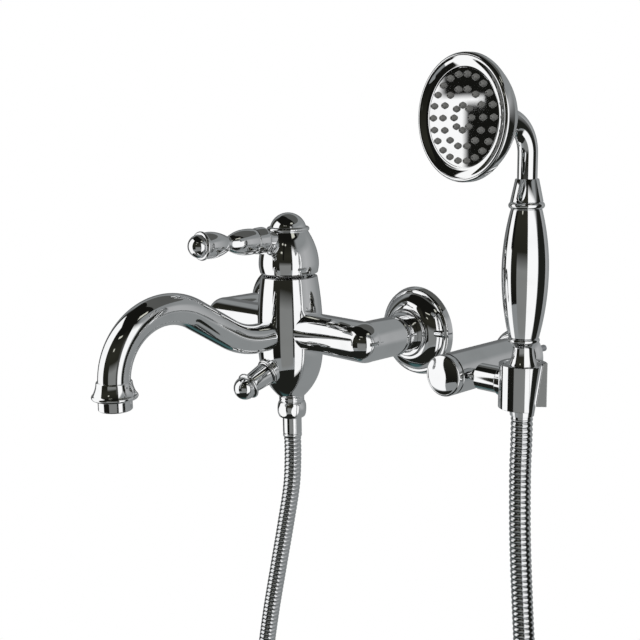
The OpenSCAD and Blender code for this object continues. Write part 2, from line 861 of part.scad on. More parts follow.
module diverter_stem() {
    rod_r = diverter_stem_d / 2;
    color(steel) at_diverter() rod(rod_r, 1.5, knob_at + 9);
}

// Valve disc that closes the spout way when the knob is pulled
module diverter_valve() {
    rod_r = diverter_stem_d / 2;
    color(black) at_diverter() turn([
        [rod_r + 0.02, 2.5], [6.2, 2.5], [6.8, 3.2], [6.8, 4.8], [6.2, 5.5], [rod_r + 0.02, 5.5]
    ]);
}

// Return spring between valve disc and bush
module diverter_spring() {
    turns = 6;
    steps = 16;
    wire = 0.5;
    coil_r = diverter_stem_d / 2 + 1.5;
    z0 = 5.5 + wire + 0.1;
    z1 = div_face - 3 - wire - 0.1;
    path = [for (i = [0 : turns * steps]) let (a = 360 * i / steps)
        [coil_r * cos(a), coil_r * sin(a), z0 + (z1 - z0) * i / (turns * steps)]];
    color(steel) at_diverter() wire_form(path, wire, 6);
}

// A closed wire along a path, with flat ends
module wire_form(path, r, sides) {
    n = len(path);
    pts = [for (i = [0 : n - 1]) let (
        a = path[max(i - 1, 0)],
        b = path[min(i + 1, n - 1)],
        t = (b - a) / norm(b - a),
        u = unit(cross([0, 0, 1], t)),
        v = cross(t, u)
    ) for (k = [0 : sides - 1]) path[i] + r * (cos(360 * k / sides) * u + sin(360 * k / sides) * v)];
    walls = [for (i = [0 : n - 2]) for (k = [0 : sides - 1]) each quad(
        i * sides + k, i * sides + (k + 1) % sides,
        (i + 1) * sides + (k + 1) % sides, (i + 1) * sides + k)];
    ends = [
        [for (k = [0 : sides - 1]) k],
        [for (k = [sides - 1 : -1 : 0]) (n - 1) * sides + k]
    ];
    polyhedron(pts, concat(walls, ends));
}

// Two triangles of a quad seen clockwise from outside
function quad(a, b, c, d) = [[a, c, b], [a, d, c]];

// Vector of length one
function unit(v) = v / norm(v);

// Turned pull knob
module diverter_knob() {
    bulb_r = knob_d / 2;
    color(chrome) at_diverter() turn(concat(
        [[diverter_stem_d / 2 + 0.02, knob_at], [bulb_r - 1.4, knob_at], [bulb_r - 0.8, knob_at + 0.6],
         [bulb_r - 1.9, knob_ring - 4], [bulb_r - 2.4, knob_ring - 2]],
        arc(bulb_r - 0.9, knob_ring, 1.5, -75, 75, 6),
        [[3.4, knob_ring + 1.5], [2.4, knob_ring + 1.5], [2.4, knob_ring - 4],
         [0, knob_ring - 4], [0, knob_at + 9], [diverter_stem_d / 2 + 0.02, knob_at + 9]]
    ));
}

module diverter_ball() {
    ball_r = knob_ball_d / 2;
    color(chrome) at_diverter() {
        difference() {
            translate([0, 0, knob_ball]) sphere(r = ball_r);
            rod(ball_r, knob_ring - 12, knob_ring + 1.6);
        }
        rod(2.3, knob_ring - 3.8, knob_ring + 3);
    }
}

// Hose outlet

// Nipple screwed into the body foot
module outlet_nipple() {
    collar = foot_d / 2 + 0.3;
    color(chrome) at_body() turn([
        [5, -chamber_low_z()], [nipple_r, -chamber_low_z()], [nipple_r, -body_foot_z],
        [collar, -body_foot_z], [collar, -body_foot_z - 1.2], [collar - 0.6, -body_foot_z - 1.5],
        [collar, -body_foot_z - 1.8], [collar, -nipple_low], [hose_thread_d / 2, -nipple_low],
        [hose_thread_d / 2, -seal_z + 2], [5, -seal_z + 2]
    ]);
}

// Depth of the nipple's upper end below the inlets
function chamber_low_z() = -chamber_low + 4;

// Small check valve inside the nipple
module check_valve() {
    color(plastic) at_body() difference() {
        rod(5 - fit, -body_foot_z - 2, -body_foot_z + 8);
        rod(3.6, -body_foot_z, -body_foot_z + 8 + eps);
        for (a = [0 : 90 : 270]) rotate([0, 0, a]) translate([2.2, 0, 0])
            rod(0.9, -body_foot_z - 3, -body_foot_z + 1);
    }
}

module hose_washer() {
    color(black) at_body() tube(hose_thread_d / 2 - 0.2, 4.6, -seal_z, -seal_z + 2);
}

// Round hose nut with six milled flats
module hose_nut() {
    nut_r = nut_d / 2;
    color(chrome) at_body() difference() {
        turn(concat(
            [[ferrule_d / 2 + fit, -nut_low + 3], [ferrule_d / 2 + fit, -nut_low], [nut_r - 2, -nut_low]],
            [for (i = [0 : 8]) let (t = i / 8)
                [nut_r - 1.3 * pow(2 * t - 1, 2), -nut_low + 0.5 + (nut_h - 1) * t]],
            [[nut_r - 2, -nut_top], [hose_thread_d / 2 + fit, -nut_top], [hose_thread_d / 2 + fit, -nut_low + 3]]
        ));
        for (a = [0 : 60 : 300]) rotate([0, 0, a - 22]) translate([nut_r - 0.8, -nut_r, -nut_low - 1])
            cube([nut_r, 2 * nut_r, nut_h + 2]);
    }
}

// Ferrule that holds the hose end in the nut
module lower_ferrule() {
    flange_r = hose_thread_d / 2 - 0.2;
    wall_r = ferrule_d / 2;
    color(chrome) at_body() turn([
        [3.4, -seal_z], [flange_r, -seal_z], [flange_r, -nut_low + 3.05], [wall_r, -nut_low + 3.05],
        [wall_r, hose_top_z + 3.4], [wall_r - 0.5, hose_top_z + 2.9], [wall_r, hose_top_z + 2.4],
        [wall_r, hose_top_z + 0.6], [wall_r - 0.4, hose_top_z + 0.05], [3.4, hose_top_z + 0.05]
    ]);
}

// Point of the hose route at parameter s, counted in route points
function route_at(s) =
    let (
        i = min(floor(s), len(HOSE_ROUTE) - 4),
        t = s - i,
        a = HOSE_ROUTE[i],
        b = HOSE_ROUTE[i + 1],
        c = HOSE_ROUTE[i + 2],
        d = HOSE_ROUTE[i + 3]
    )
    0.5 * (2 * b + t * (c - a) + t * t * (2 * a - 5 * b + 4 * c - d)
           + t * t * t * (3 * b - a - 3 * c + d));

// Ribbed metal hose: crest and valley rings outside, a smooth bore inside
module shower_hose() {
    sides = 8;
    crest = hose_d / 2;
    valley = crest - 0.8;
    spans = len(HOSE_ROUTE) - 3;
    rings = 2 * hose_ribs + 1;
    bores = 2 * spans + 1;
    step = 0.01;
    radii = concat(
        [for (i = [0 : rings - 1]) [spans * i / (rings - 1), i % 2 == 0 ? valley : crest]],
        [for (i = [bores - 1 : -1 : 0]) [spans * i / (bores - 1), hose_bore_d / 2]]
    );
    total = rings + bores;
    pts = [for (q = radii) let (
        here = route_at(q[0]),
        t = unit(route_at(min(q[0] + step, spans)) - route_at(max(q[0] - step, 0))),
        u = unit(cross([0, 1, 0], t)),
        v = cross(t, u)
    ) for (k = [0 : sides - 1])
        here + q[1] * (cos(360 * k / sides) * u + sin(360 * k / sides) * v)];
    walls = [for (i = [0 : total - 1]) for (k = [0 : sides - 1]) let (
        j = (i + 1) % total,
        m = (k + 1) % sides
    ) each quad(i * sides + k, i * sides + m, j * sides + m, j * sides + k)];
    color(chrome) polyhedron(pts, walls);
}

// Hand shower

// Radius of the cone nut at height z
function cone_at(z) = cone_d / 2 - (clip_top - z) * cone_slope;

// Cone nut that rests in the clip
module cone_nut() {
    thread_r = hose_thread_d / 2 + fit;
    pass = hose_d / 2 - 0.1;
    color(chrome) at_clip() turn([
        [thread_r, hand_seat], [thread_r, cone_top], [cone_at(cone_top) - 0.5, cone_top],
        [cone_at(cone_top - 0.5), cone_top - 0.5], [cone_at(clip_low), clip_low],
        [cone_at(clip_low) - 0.7, cone_low], [pass, cone_low], [pass, hand_seat]
    ]);
}

module upper_ferrule() {
    flange_r = hose_thread_d / 2 - 0.2;
    wall_r = hose_d / 2 - 0.3;
    color(chrome) at_clip() turn([
        [3.4, hand_seat + 2], [flange_r, hand_seat + 2], [flange_r, hand_seat + 0.05],
        [wall_r, hand_seat + 0.05], [wall_r, hose_low_z + 0.05], [3.4, hose_low_z + 0.05]
    ]);
}

module handset_washer() {
    color(black) at_clip() tube(hose_thread_d / 2 - 0.2, 4, hand_seat + 2, hand_seat + 4);
}

// Slim shank with its thread and the ring below the grip
module handset_shank() {
    slim = shank_d / 2;
    end_r = grip_end_d / 2;
    color(chrome) at_clip() turn(concat(
        [[3.4, hand_seat + 4], [hose_thread_d / 2, hand_seat + 4], [hose_thread_d / 2, cone_top - 1],
         [slim, cone_top - 1], [slim, clip_top + 3]],
        [for (i = [1 : 5]) let (t = i / 5) [slim + (end_r - 0.9 - slim) * t * t, clip_top + 3 + (grip_z - 6.6) * t]],
        arc(end_r - 1.1, grip_low - 1.8, 1.5, -70, 70, 6),
        [[end_r - 1.6, grip_low], [3.4, grip_low]]
    ));
}

// Barrel grip, a hollow turned shell
module handset_grip() {
    end_r = grip_end_d / 2;
    mid = grip_low + grip_h * 0.52;
    outer = concat(
        turned(swell(grip_d / 2, mid, end_r, grip_low, 2, 10)),
        [for (p = swell(grip_d / 2, mid, end_r, grip_top, 2, 10)) if (p[1] > mid + 0.1) p]
    );
    color(chrome) at_clip() turn(concat(
        [[5, grip_low]], outer, [[5, grip_top], [5, grip_top - 6]],
        [[grip_d / 2 - 3.4, mid + 12], [grip_d / 2 - 3.4, mid - 12], [5, grip_low + 6]]
    ));
}

// Bead between grip and neck
module handset_bead() {
    end_r = grip_end_d / 2;
    color(chrome) at_clip() turn(concat(
        [[4.2, grip_top], [end_r - 0.4, grip_top]],
        arc(end_r - 0.6, grip_top + 2.1, 2, -70, 70, 8),
        [[end_r - 0.2, grip_top + 4.2], [4.2, grip_top + 4.2]]
    ));
}

// Cone collar and bent tube up to the head
module handset_neck() {
    r = tube_d / 2;
    bore = r - 1.6;
    base = grip_top + 4.2;
    color(chrome) at_clip() {
        turn([
            [bore, base], [grip_end_d / 2 + 0.5, base], [r + 1, base + 12.4], [r + 0.8, base + 12.6],
            [r, base + 12.6], [r, bend_z + lap], [bore, bend_z + lap]
        ]);
        translate([0, 0, bend_z]) rotate([0, 0, -head_yaw]) translate([0, -neck_bend_r, 0]) {
            bend(neck_bend_r, r, bore, 0, 90);
            translate([0, 0, neck_bend_r]) facing() tube(r, bore, -lap, head_back + 3 - neck_bend_r);
        }
    }
}

// Back of the head, a thin dome
module head_shell() {
    socket = tube_d / 2 + 0.02;
    dome = [for (i = [0 : 10]) let (t = i / 10)
        [socket + 2 + (head_r - 0.6 - socket - 2) * t, head_back + (rim_back - head_back) * pow(t, 2.2)]];
    inner = [for (i = [10 : -1 : 0]) let (t = i / 10)
        [socket + 2 + (head_r - 2.4 - socket - 2) * t, head_back + 2.2 + (rim_back - 1.4 - head_back) * pow(t, 2.2)]];
    color(chrome) at_head() turn(concat(
        [[socket, head_back - 1.4], [socket + 1, head_back - 1.4]], dome,
        [[head_r - 0.6, rim_back + 0.9], [head_r - 2.4, rim_back + 0.9]], inner, [[socket, head_back + 2.2]]
    ));
}

module head_seal() {
    color(black) at_head() tube(head_r - 2.5, head_r - 3.9, rim_back + 0.9, rim_back + 1.6);
}

// Front ring with a rounded rim and a hollow slope to the spray face
module head_bezel() {
    face_r = face_d / 2;
    color(chrome) at_head() turn(concat(
        [[head_r - 0.2, rim_back + 0.9], [head_r, rim_back + 1.4]],
        arc(head_r - 1.6, head_out - 1.6, 1.6, 0, 100, 6),
        [for (i = [1 : 5]) let (t = i / 5)
            [head_r - 2.4 - (head_r - 2.4 - face_r) * t, head_out - 0.1 - 1.7 * sin(90 * t)]],
        [[face_r, plate_back], [face_r - plate_lip, plate_back], [face_r - plate_lip, mat_back],
         [head_r - 4.4, mat_back],
         [head_r - 4.4, rim_back + 1.6], [head_r - 2.4, rim_back + 1.6], [head_r - 2.4, rim_back + 0.9]]
    ));
}

// Places children at every nozzle
module each_nozzle() {
    for (c = NOZZLES) for (i = [0 : c[1] - 1]) rotate([0, 0, 360 * i / c[1]]) translate([c[0], 0, 0])
        children();
}

module spray_plate() {
    color(chrome) at_head() difference() {
        rod(face_d / 2 - fit, plate_back, plate_back + 1.6);
        each_nozzle() rod(nozzle_d / 2 + 0.1, plate_back - eps, plate_back + 1.6 + eps);
    }
}

// Soft mat with its nozzles standing through the plate
module nozzle_mat() {
    color(grey) at_head() {
        rod(face_d / 2 - plate_lip - fit, mat_back, plate_back);
        each_nozzle() translate([0, 0, mat_back + 0.4])
            cylinder(r1 = nozzle_d / 2, r2 = nozzle_d / 2 - 0.35, h = 4.4);
    }
}

// Holder

// Boss screwed to the wall
module holder_wall_boss() {
    color(brass) at_holder() difference() {
        rod(wall_boss_r, 0, 22);
        rod(2.4, -eps, 22);
        rod(4.6, 14, 22 + eps);
        translate([0, 0, 14]) rotate([0, 90, 0]) rod(2, 6.5, 12);
    }
}

module holder_wall_screw() {
    color(steel) at_holder() difference() {
        union() {
            rod(2.2, -26, -1);
            rod(1.9, -1 - eps, 14);
            rod(4.2, 14, 17);
        }
        translate([-3, -0.6, 15.6]) cube([6, 1.2, 4]);
        translate([-0.6, -3, 15.6]) cube([1.2, 6, 4]);
    }
}

// Domed wall flange round the arm
module holder_flange() {
    arm_r = holder_d / 2;
    rim_r = flange_d / 2;
    color(chrome) at_holder() turn(concat(
        [[arm_r + 0.1, 0], [rim_r, 0], [rim_r, 1.6]],
        [for (i = [1 : 8]) let (t = i / 8)
            [arm_r + 1 + (rim_r - arm_r - 1) * cos(90 * t), 1.6 + (flange_depth - 1.6) * sin(90 * t)]],
        [[arm_r + 0.1, flange_depth]]
    ));
}

// Round arm with a side boss for the turning stub
module holder_arm() {
    arm_r = holder_d / 2;
    front = holder_out - 3.8;
    color(chrome) difference() {
        union() {
            at_holder() rod(arm_r, 0.6, front);
            at_pivot() rod(pivot_r + 1.2, holder_x, boss_x);
        }
        at_holder() {
            rod(wall_boss_r + fit, -eps, holder_out / 2);
            rod(7.4 + fit, front - 6, front + eps);
            translate([0, 0, 14]) rotate([0, 90, 0]) rod(2 + fit, 6, arm_r + 2);
        }
        at_pivot() rod(pivot_r + run, holder_x - 4, boss_x + eps);
    }
}

// Domed front cap with a thin groove behind it
module holder_cap() {
    arm_r = holder_d / 2;
    front = holder_out - 3.8;
    rim_r = arm_r - 0.5;
    dome_r = (pow(rim_r, 2) + pow(cap_dome, 2)) / (2 * cap_dome);
    color(chrome) at_holder() turn(concat(
        [[0, front - 4], [7.4, front - 4], [7.4, front], [arm_r - 1.2, front], [arm_r - 1.2, front + 0.8],
         [arm_r, front + 0.8], [arm_r, holder_out - 0.5]],
        arc(0, holder_out + cap_dome - dome_r, dome_r, acos(rim_r / dome_r), 90, 8)
    ));
}

// Grub screw that fixes the arm on the wall boss
module holder_grub_screw() {
    color(steel) at_holder() translate([0, 0, 14]) rotate([0, 90, 0]) difference() {
        rod(2, 6.6, holder_d / 2 - 0.4);
        rod(1, holder_d / 2 - 2.4, holder_d / 2 + eps);
    }
}

// Friction washer between boss and stub
module friction_washer() {
    color(black) at_pivot() tube(pivot_r + 1.2, pivot_r + run, boss_x, boss_x + friction_t);
}

// Turning stub with its pivot
module clip_stub() {
    color(chrome) at_pivot() difference() {
        union() {
            rod(stub_r, stub_x, pad_x);
            rod(pivot_r, holder_x - 3, stub_x + 1);
        }
        rod(1.8 + fit, pad_x - 10, pad_x + eps);
    }
}

// C-shaped clip with a conical bore and a mouth for the hose
module holder_clip() {
    color(chrome) difference() {
        union() {
            at_clip() rod(clip_r, clip_low, clip_top);
            at_pivot() rod(stub_r + 1.2, pad_x, clip_x - clip_r / 2);
        }
        at_clip() {
            turn([
                [0, clip_low - 1], [cone_at(clip_low - 1) + run, clip_low - 1],
                [cone_at(clip_top + 1) + run, clip_top + 1], [0, clip_top + 1]
            ]);
            translate([0, -mouth_w / 2, clip_low - 1]) cube([clip_r + 2, mouth_w, clip_h + 2]);
            translate([0, 0, clip_low - 1]) linear_extrude(clip_h + 2) polygon([
                [0, 0], [1.5 * clip_r, -1.5 * clip_r * tan(mouth_flare)],
                [1.5 * clip_r, 1.5 * clip_r * tan(mouth_flare)]
            ]);
        }
        at_pivot() {
            rod(1.8 + fit, pad_x - eps, clip_x);
            rod(3.4 + fit, clip_x - cone_at(holder_z) - 1.8, clip_x);
        }
    }
}

// Screw that holds the clip on the stub
module clip_screw() {
    head_x = clip_x - cone_at(holder_z) - 1.8;
    color(steel) at_pivot() difference() {
        union() {
            rod(1.8, pad_x - 9.4, head_x + 0.2);
            rod(3.4, head_x, head_x + 1.1);
        }
        translate([-0.5, -4, head_x + 0.6]) cube([1, 8, 2]);
    }
}

mixer_body();
inlet_union_left();
inlet_union_right();
rosette_left();
rosette_right();
union_washers();
inlet_strainers();
cartridge_seal();
cartridge_housing();
ceramic_fixed_disc();
cartridge_nut();
cartridge_yoke();
ceramic_moving_disc();
pivot_pin();
cartridge_stem();
hood();
hood_finial();
lever();
lever_ball();
hood_grub_screw();
spout();
spout_seal();
outlet_bell();
aerator_housing();
aerator_insert();
aerator_washer();
diverter_bush();
diverter_stem();
diverter_valve();
diverter_spring();
diverter_knob();
diverter_ball();
outlet_nipple();
check_valve();
hose_washer();
hose_nut();
lower_ferrule();
shower_hose();
upper_ferrule();
cone_nut();
handset_washer();
handset_shank();
handset_grip();
handset_bead();
handset_neck();
head_shell();
head_seal();
head_bezel();
spray_plate();
nozzle_mat();
holder_wall_boss();
holder_wall_screw();
holder_flange();
holder_arm();
holder_cap();
holder_grub_screw();
friction_washer();
clip_stub();
holder_clip();
clip_screw();
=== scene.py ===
"""Chrome wall-mounted bath mixer with hand shower, hose and wall holder.

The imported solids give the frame. This script dresses them: turned chrome parts are
modelled again as smooth meshes, the hose gets its fine ribs, and hidden parts get
materials of their own. Sizes are in millimetres, in the frame of the solids: the wall
is the plane y = 0, the front is -y and the inlets lie at z = 0. The studio is in metres.
"""

from __future__ import annotations

import json
import logging
import math
from dataclasses import dataclass, field
from enum import Enum
from typing import Any, Iterable, Iterator, Sequence

import bmesh
import bpy
from mathutils import Matrix, Vector

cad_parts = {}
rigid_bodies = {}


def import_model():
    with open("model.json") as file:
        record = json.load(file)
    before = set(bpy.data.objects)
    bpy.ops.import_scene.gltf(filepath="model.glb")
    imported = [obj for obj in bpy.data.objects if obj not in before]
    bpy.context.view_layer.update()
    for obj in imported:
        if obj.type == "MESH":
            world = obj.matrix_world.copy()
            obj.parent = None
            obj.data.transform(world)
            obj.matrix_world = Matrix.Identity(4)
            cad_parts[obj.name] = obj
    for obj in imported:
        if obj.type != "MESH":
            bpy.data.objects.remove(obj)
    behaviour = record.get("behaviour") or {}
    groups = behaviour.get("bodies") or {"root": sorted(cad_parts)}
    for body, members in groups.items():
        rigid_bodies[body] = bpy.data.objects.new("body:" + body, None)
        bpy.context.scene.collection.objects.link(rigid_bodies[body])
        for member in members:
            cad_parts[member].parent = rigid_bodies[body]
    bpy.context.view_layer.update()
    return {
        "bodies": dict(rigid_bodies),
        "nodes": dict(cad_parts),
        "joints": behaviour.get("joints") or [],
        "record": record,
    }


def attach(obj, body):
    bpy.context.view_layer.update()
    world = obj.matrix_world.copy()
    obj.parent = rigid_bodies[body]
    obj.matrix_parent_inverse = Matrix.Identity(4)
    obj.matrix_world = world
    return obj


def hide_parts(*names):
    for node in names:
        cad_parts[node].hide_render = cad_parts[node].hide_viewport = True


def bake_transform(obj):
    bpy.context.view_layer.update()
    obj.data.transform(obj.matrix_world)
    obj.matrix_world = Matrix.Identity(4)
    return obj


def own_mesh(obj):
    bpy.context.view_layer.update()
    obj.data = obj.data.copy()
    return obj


log = logging.getLogger("bath_mixer")

MM = 0.001

Outline = list[tuple[float, float]]
Pair = tuple[float, float]
Triple = tuple[float, float, float]

# Sizes that several sub-assemblies share

PITCH = 150.0
AXIS_OUT = 56.0
ARM_GAP = 25.0
FOOT_R = 9.0
FOOT_Z = -51.0
THREAD_R = 8.33
HOSE_R = 6.4
HOSE_TOP = -24.0
HAND_X = 210.0
HAND_OUT = 64.0
CLIP_TOP = 8.8
CLIP_LOW = -17.2
CONE_R = 11.0
CONE_SMALL_R = 7.6


class Body(Enum):
    """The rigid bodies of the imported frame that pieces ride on."""

    ROOT = "mixer_and_holder"
    LIFT = "lever_lift"
    DIVERTER = "diverter"
    CLIP = "clip"
    HANDSET = "handset"


# Shader graph


class Signal:
    """A shader socket that takes part in Python arithmetic."""

    def __init__(self, graph: Graph, socket: bpy.types.NodeSocket) -> None:
        """Keeps the graph that new Math nodes join, and the socket."""
        self.graph = graph
        self.socket = socket

    def _math(self, operation: str, left: Any, right: Any) -> Signal:
        """Adds one Math node for two values or signals."""
        return self.graph.node("ShaderNodeMath", {0: left, 1: right}, operation=operation)

    def __add__(self, other: Any) -> Signal:
        """Sum."""
        return self._math("ADD", self, other)

    def __radd__(self, other: Any) -> Signal:
        """Reflected sum."""
        return self._math("ADD", other, self)

    def __sub__(self, other: Any) -> Signal:
        """Difference."""
        return self._math("SUBTRACT", self, other)

    def __rsub__(self, other: Any) -> Signal:
        """Reflected difference."""
        return self._math("SUBTRACT", other, self)

    def __mul__(self, other: Any) -> Signal:
        """Product."""
        return self._math("MULTIPLY", self, other)

    def __rmul__(self, other: Any) -> Signal:
        """Reflected product."""
        return self._math("MULTIPLY", other, self)

    def lowest(self, other: Any) -> Signal:
        """The smaller of two values."""
        return self._math("MINIMUM", self, other)

    def highest(self, other: Any) -> Signal:
        """The larger of two values."""
        return self._math("MAXIMUM", self, other)


class Graph:
    """The node tree of one material or world."""

    # Colour sockets of a Mix node
    FIRST, SECOND, MIXED = 6, 7, 2

    def __init__(self, tree: bpy.types.NodeTree) -> None:
        """Clears the tree and keeps it."""
        self.tree = tree
        tree.nodes.clear()

    def node(self, kind: str, inputs: dict[Any, Any], output: Any = 0, **settings: Any) -> Signal:
        """Adds a node, sets it up and links it.

        Args:
            kind: Node type name.
            inputs: Socket name or index to value or signal.
            output: Name or index of the output that is returned.
            settings: Attributes of the node.

        Returns:
            The chosen output as a signal, or the first input of an output node.
        """
        made = self.tree.nodes.new(kind)
        for key, value in settings.items():
            setattr(made, key, value)
        for key, value in inputs.items():
            if isinstance(value, Signal):
                self.tree.links.new(value.socket, made.inputs[key])
            else:
                made.inputs[key].default_value = value
        return Signal(self, made.outputs[output] if len(made.outputs) else made.inputs[0])

    def noise(self, coords: Signal, scale: float, detail: float) -> Signal:
        """A noise value on given coordinates."""
        return self.node("ShaderNodeTexNoise", {"Vector": coords, "Scale": scale, "Detail": detail})

    def ramp(self, value: Signal, low: float, high: float) -> Signal:
        """A grey that rises from 0 to 1 between two values.

        Args:
            value: Value to look up.
            low: Value up to which the grey is 0.
            high: Value from which the grey is 1.

        Returns:
            The grey.
        """
        grey = self.node("ShaderNodeValToRGB", {"Fac": value})
        for stop, position in zip(grey.socket.node.color_ramp.elements, (low, high)):
            stop.position = position
        return grey

    def mix(self, share: Signal, first: Triple, second: Triple) -> Signal:
        """A colour between two colours."""
        inputs = {0: share, self.FIRST: (*first, 1.0), self.SECOND: (*second, 1.0)}
        return self.node("ShaderNodeMix", inputs, self.MIXED, data_type="RGBA")

    def seen(self) -> Signal:
        """Tells rays of the camera, of mirrors and of glass from all others.

        Returns:
            One for these rays, and zero for the others.
        """
        kinds = ("Is Camera Ray", "Is Glossy Ray", "Is Transmission Ray")
        camera, gloss, glass = (self.node("ShaderNodeLightPath", {}, kind) for kind in kinds)
        return camera.highest(gloss).highest(glass)

    def surface(self, shader: Signal) -> None:
        """Makes a shader the surface of the material."""
        self.node("ShaderNodeOutputMaterial", {"Surface": shader})

    def coat(self, colour: Signal, rough: Signal, metallic: float, height: Signal, bump: Pair) -> None:
        """Ends a material with a Principled surface and a bumped normal.

        Args:
            colour: Base colour.
            rough: Roughness.
            metallic: Share of metal.
            height: Height of the bumps.
            bump: Strength and depth of the bumps.
        """
        strength, depth = bump
        normal = self.node("ShaderNodeBump", {"Strength": strength, "Distance": depth, "Height": height})
        inputs = {"Base Color": colour, "Metallic": metallic, "Roughness": rough, "Normal": normal}
        self.surface(self.node("ShaderNodeBsdfPrincipled", inputs))


def new_material(name: str) -> tuple[bpy.types.Material, Graph]:
    """Starts an empty node material.

    Args:
        name: Material name.

    Returns:
        The material and its graph.
    """
    mat = bpy.data.materials.new(name)
    mat.use_nodes = True
    return mat, Graph(mat.node_tree)


# Finishes


@dataclass(frozen=True)
class Chrome:
    """Polished chrome plating with faint water marks and polishing waves."""

    name: str
    tint: Triple = (0.94, 0.945, 0.95)
    dull: Triple = (0.89, 0.895, 0.90)
    gloss: float = 0.035
    smudge: float = 0.07
    wave: float = 0.02
    wave_depth: float = 0.0006
    mark_low: float = 0.52
    mark_high: float = 0.72
    mark_scale: float = 55.0
    fine_scale: float = 420.0
    wave_scale: float = 90.0

    def material(self) -> bpy.types.Material:
        """Builds the material.

        Returns:
            The new material.
        """
        mat, graph = new_material(self.name)
        coords = graph.node("ShaderNodeTexCoord", {}, "Object")
        marks = graph.ramp(graph.noise(coords, self.mark_scale, 4.0), self.mark_low, self.mark_high)
        rough = marks * self.smudge * graph.noise(coords, self.fine_scale, 2.0) + self.gloss
        waves = graph.noise(coords, self.wave_scale, 1.0)
        graph.coat(graph.mix(marks, self.tint, self.dull), rough, 1.0, waves, (self.wave, self.wave_depth))
        return mat


@dataclass(frozen=True)
class Plain:
    """A turned or moulded material with slight colour change, gloss change and grain."""

    name: str
    colour: Triple
    shade: Triple
    rough: float
    metallic: float = 0.0
    rough_spread: float = 0.16
    grain: float = 0.15
    grain_depth: float = 0.0003
    grain_scale: float = 900.0
    patch_scale: float = 140.0

    def material(self) -> bpy.types.Material:
        """Builds the material.

        Returns:
            The new material.
        """
        mat, graph = new_material(self.name)
        coords = graph.node("ShaderNodeTexCoord", {}, "Object")
        colour = graph.mix(graph.noise(coords, self.patch_scale, 3.0), self.colour, self.shade)
        grain = graph.noise(coords, self.grain_scale, 2.0)
        rough = grain * self.rough_spread + (self.rough - self.rough_spread / 2)
        graph.coat(colour, rough, self.metallic, grain, (self.grain, self.grain_depth))
        return mat


class Finish(Enum):
    """The material slots of the record, each with its finish."""

    CHROME = Chrome("polished_chrome")
    HOSE = Chrome("hose_chrome", (0.80, 0.81, 0.82), (0.75, 0.76, 0.77), gloss=0.11, smudge=0.05, wave=0.0)
    BRASS = Plain("turned_brass", (0.78, 0.62, 0.30), (0.70, 0.54, 0.24), 0.32, 1.0)
    STEEL = Plain("turned_steel", (0.62, 0.63, 0.65), (0.54, 0.55, 0.57), 0.30, 1.0)
    RUBBER = Plain("seal_rubber", (0.030, 0.030, 0.032), (0.045, 0.045, 0.048), 0.62)
    SILICONE = Plain("grey_silicone", (0.110, 0.110, 0.106), (0.15, 0.15, 0.143), 0.48)
    CERAMIC = Plain("white_ceramic", (0.90, 0.89, 0.86), (0.86, 0.85, 0.82), 0.18)
    PLASTIC = Plain("moulded_plastic", (0.74, 0.75, 0.73), (0.68, 0.69, 0.67), 0.42)

    @property
    def slot(self) -> str:
        """Name of the slot in the record."""
        return self.name.lower()


# Outlines and shapes


def shares(n: int) -> Iterator[float]:
    """Shares from 0 to 1 in n equal steps."""
    return (i / n for i in range(n + 1))


def swell(r0: float, z0: float, r1: float, z1: float, power: float, n: int = 24) -> Outline:
    """A curve that leaves r0, z0 along the axis and turns towards r1, z1."""
    return [(r1 + (r0 - r1) * (1 - t**power), z0 + (z1 - z0) * t) for t in shares(n)]


def dish(r0: float, z0: float, r1: float, z1: float, power: float, n: int = 24) -> Outline:
    """A curve that leaves r0, z0 across the axis and turns towards r1, z1."""
    return [(r, z) for z, r in swell(z0, r0, z1, r1, power, n)]


def bulb(z0: float, ra: float, z1: float, rb: float, rise: float, n: int) -> Outline:
    """A bulb between two radii that rises in the middle."""
    return [(ra + (rb - ra) * t + rise * math.sin(math.pi * t), z0 + (z1 - z0) * t) for t in shares(n)]


def arc(
    cr: float, cz: float, r: float, a0: float, a1: float, n: int = 14, rz: float | None = None
) -> Outline:
    """An arc round cr, cz from angle a0 to a1 in degrees, of an ellipse if rz is given."""
    angles = [math.radians(a0 + (a1 - a0) * t) for t in shares(n)]
    return [(cr + r * math.cos(a), cz + (rz or r) * math.sin(a)) for a in angles]


def cut_ball(r: float, centre: float, cut: float) -> Outline:
    """A ball's outline above a flat cut."""
    low = math.degrees(math.asin((cut - centre) / r))
    return [(0, cut), *arc(0, centre, r, low, 90, 30)]


def place(x: float, y: float, z: float) -> Matrix:
    """A move to a point in millimetres."""
    return Matrix.Translation(Vector((x, y, z)) * MM)


def turn_x(angle: float) -> Matrix:
    """A turn about x in degrees."""
    return Matrix.Rotation(math.radians(angle), 4, "X")


def turn_y(angle: float) -> Matrix:
    """A turn about y in degrees."""
    return Matrix.Rotation(math.radians(angle), 4, "Y")


def turn_z(angle: float) -> Matrix:
    """A turn about z in degrees."""
    return Matrix.Rotation(math.radians(angle), 4, "Z")


FACING = turn_x(90)
SIDEWAYS = turn_y(90)
MIXER = place(0, -AXIS_OUT, 0)
HANDLE = place(HAND_X, -HAND_OUT, 0)


def new_mesh(name: str, bm: bmesh.types.BMesh) -> bpy.types.Mesh:
    """Ends a bmesh as a mesh.

    Args:
        name: Mesh name.
        bm: Shape, freed here.

    Returns:
        The mesh.
    """
    mesh = bpy.data.meshes.new(name)
    bm.to_mesh(mesh)
    bm.free()
    return mesh


def new_object(name: str, data: Any) -> bpy.types.Object:
    """Links a new object to the scene.

    Args:
        name: Object name.
        data: Its mesh, lamp or camera.

    Returns:
        The object.
    """
    obj = bpy.data.objects.new(name, data)
    bpy.context.scene.collection.objects.link(obj)
    return obj


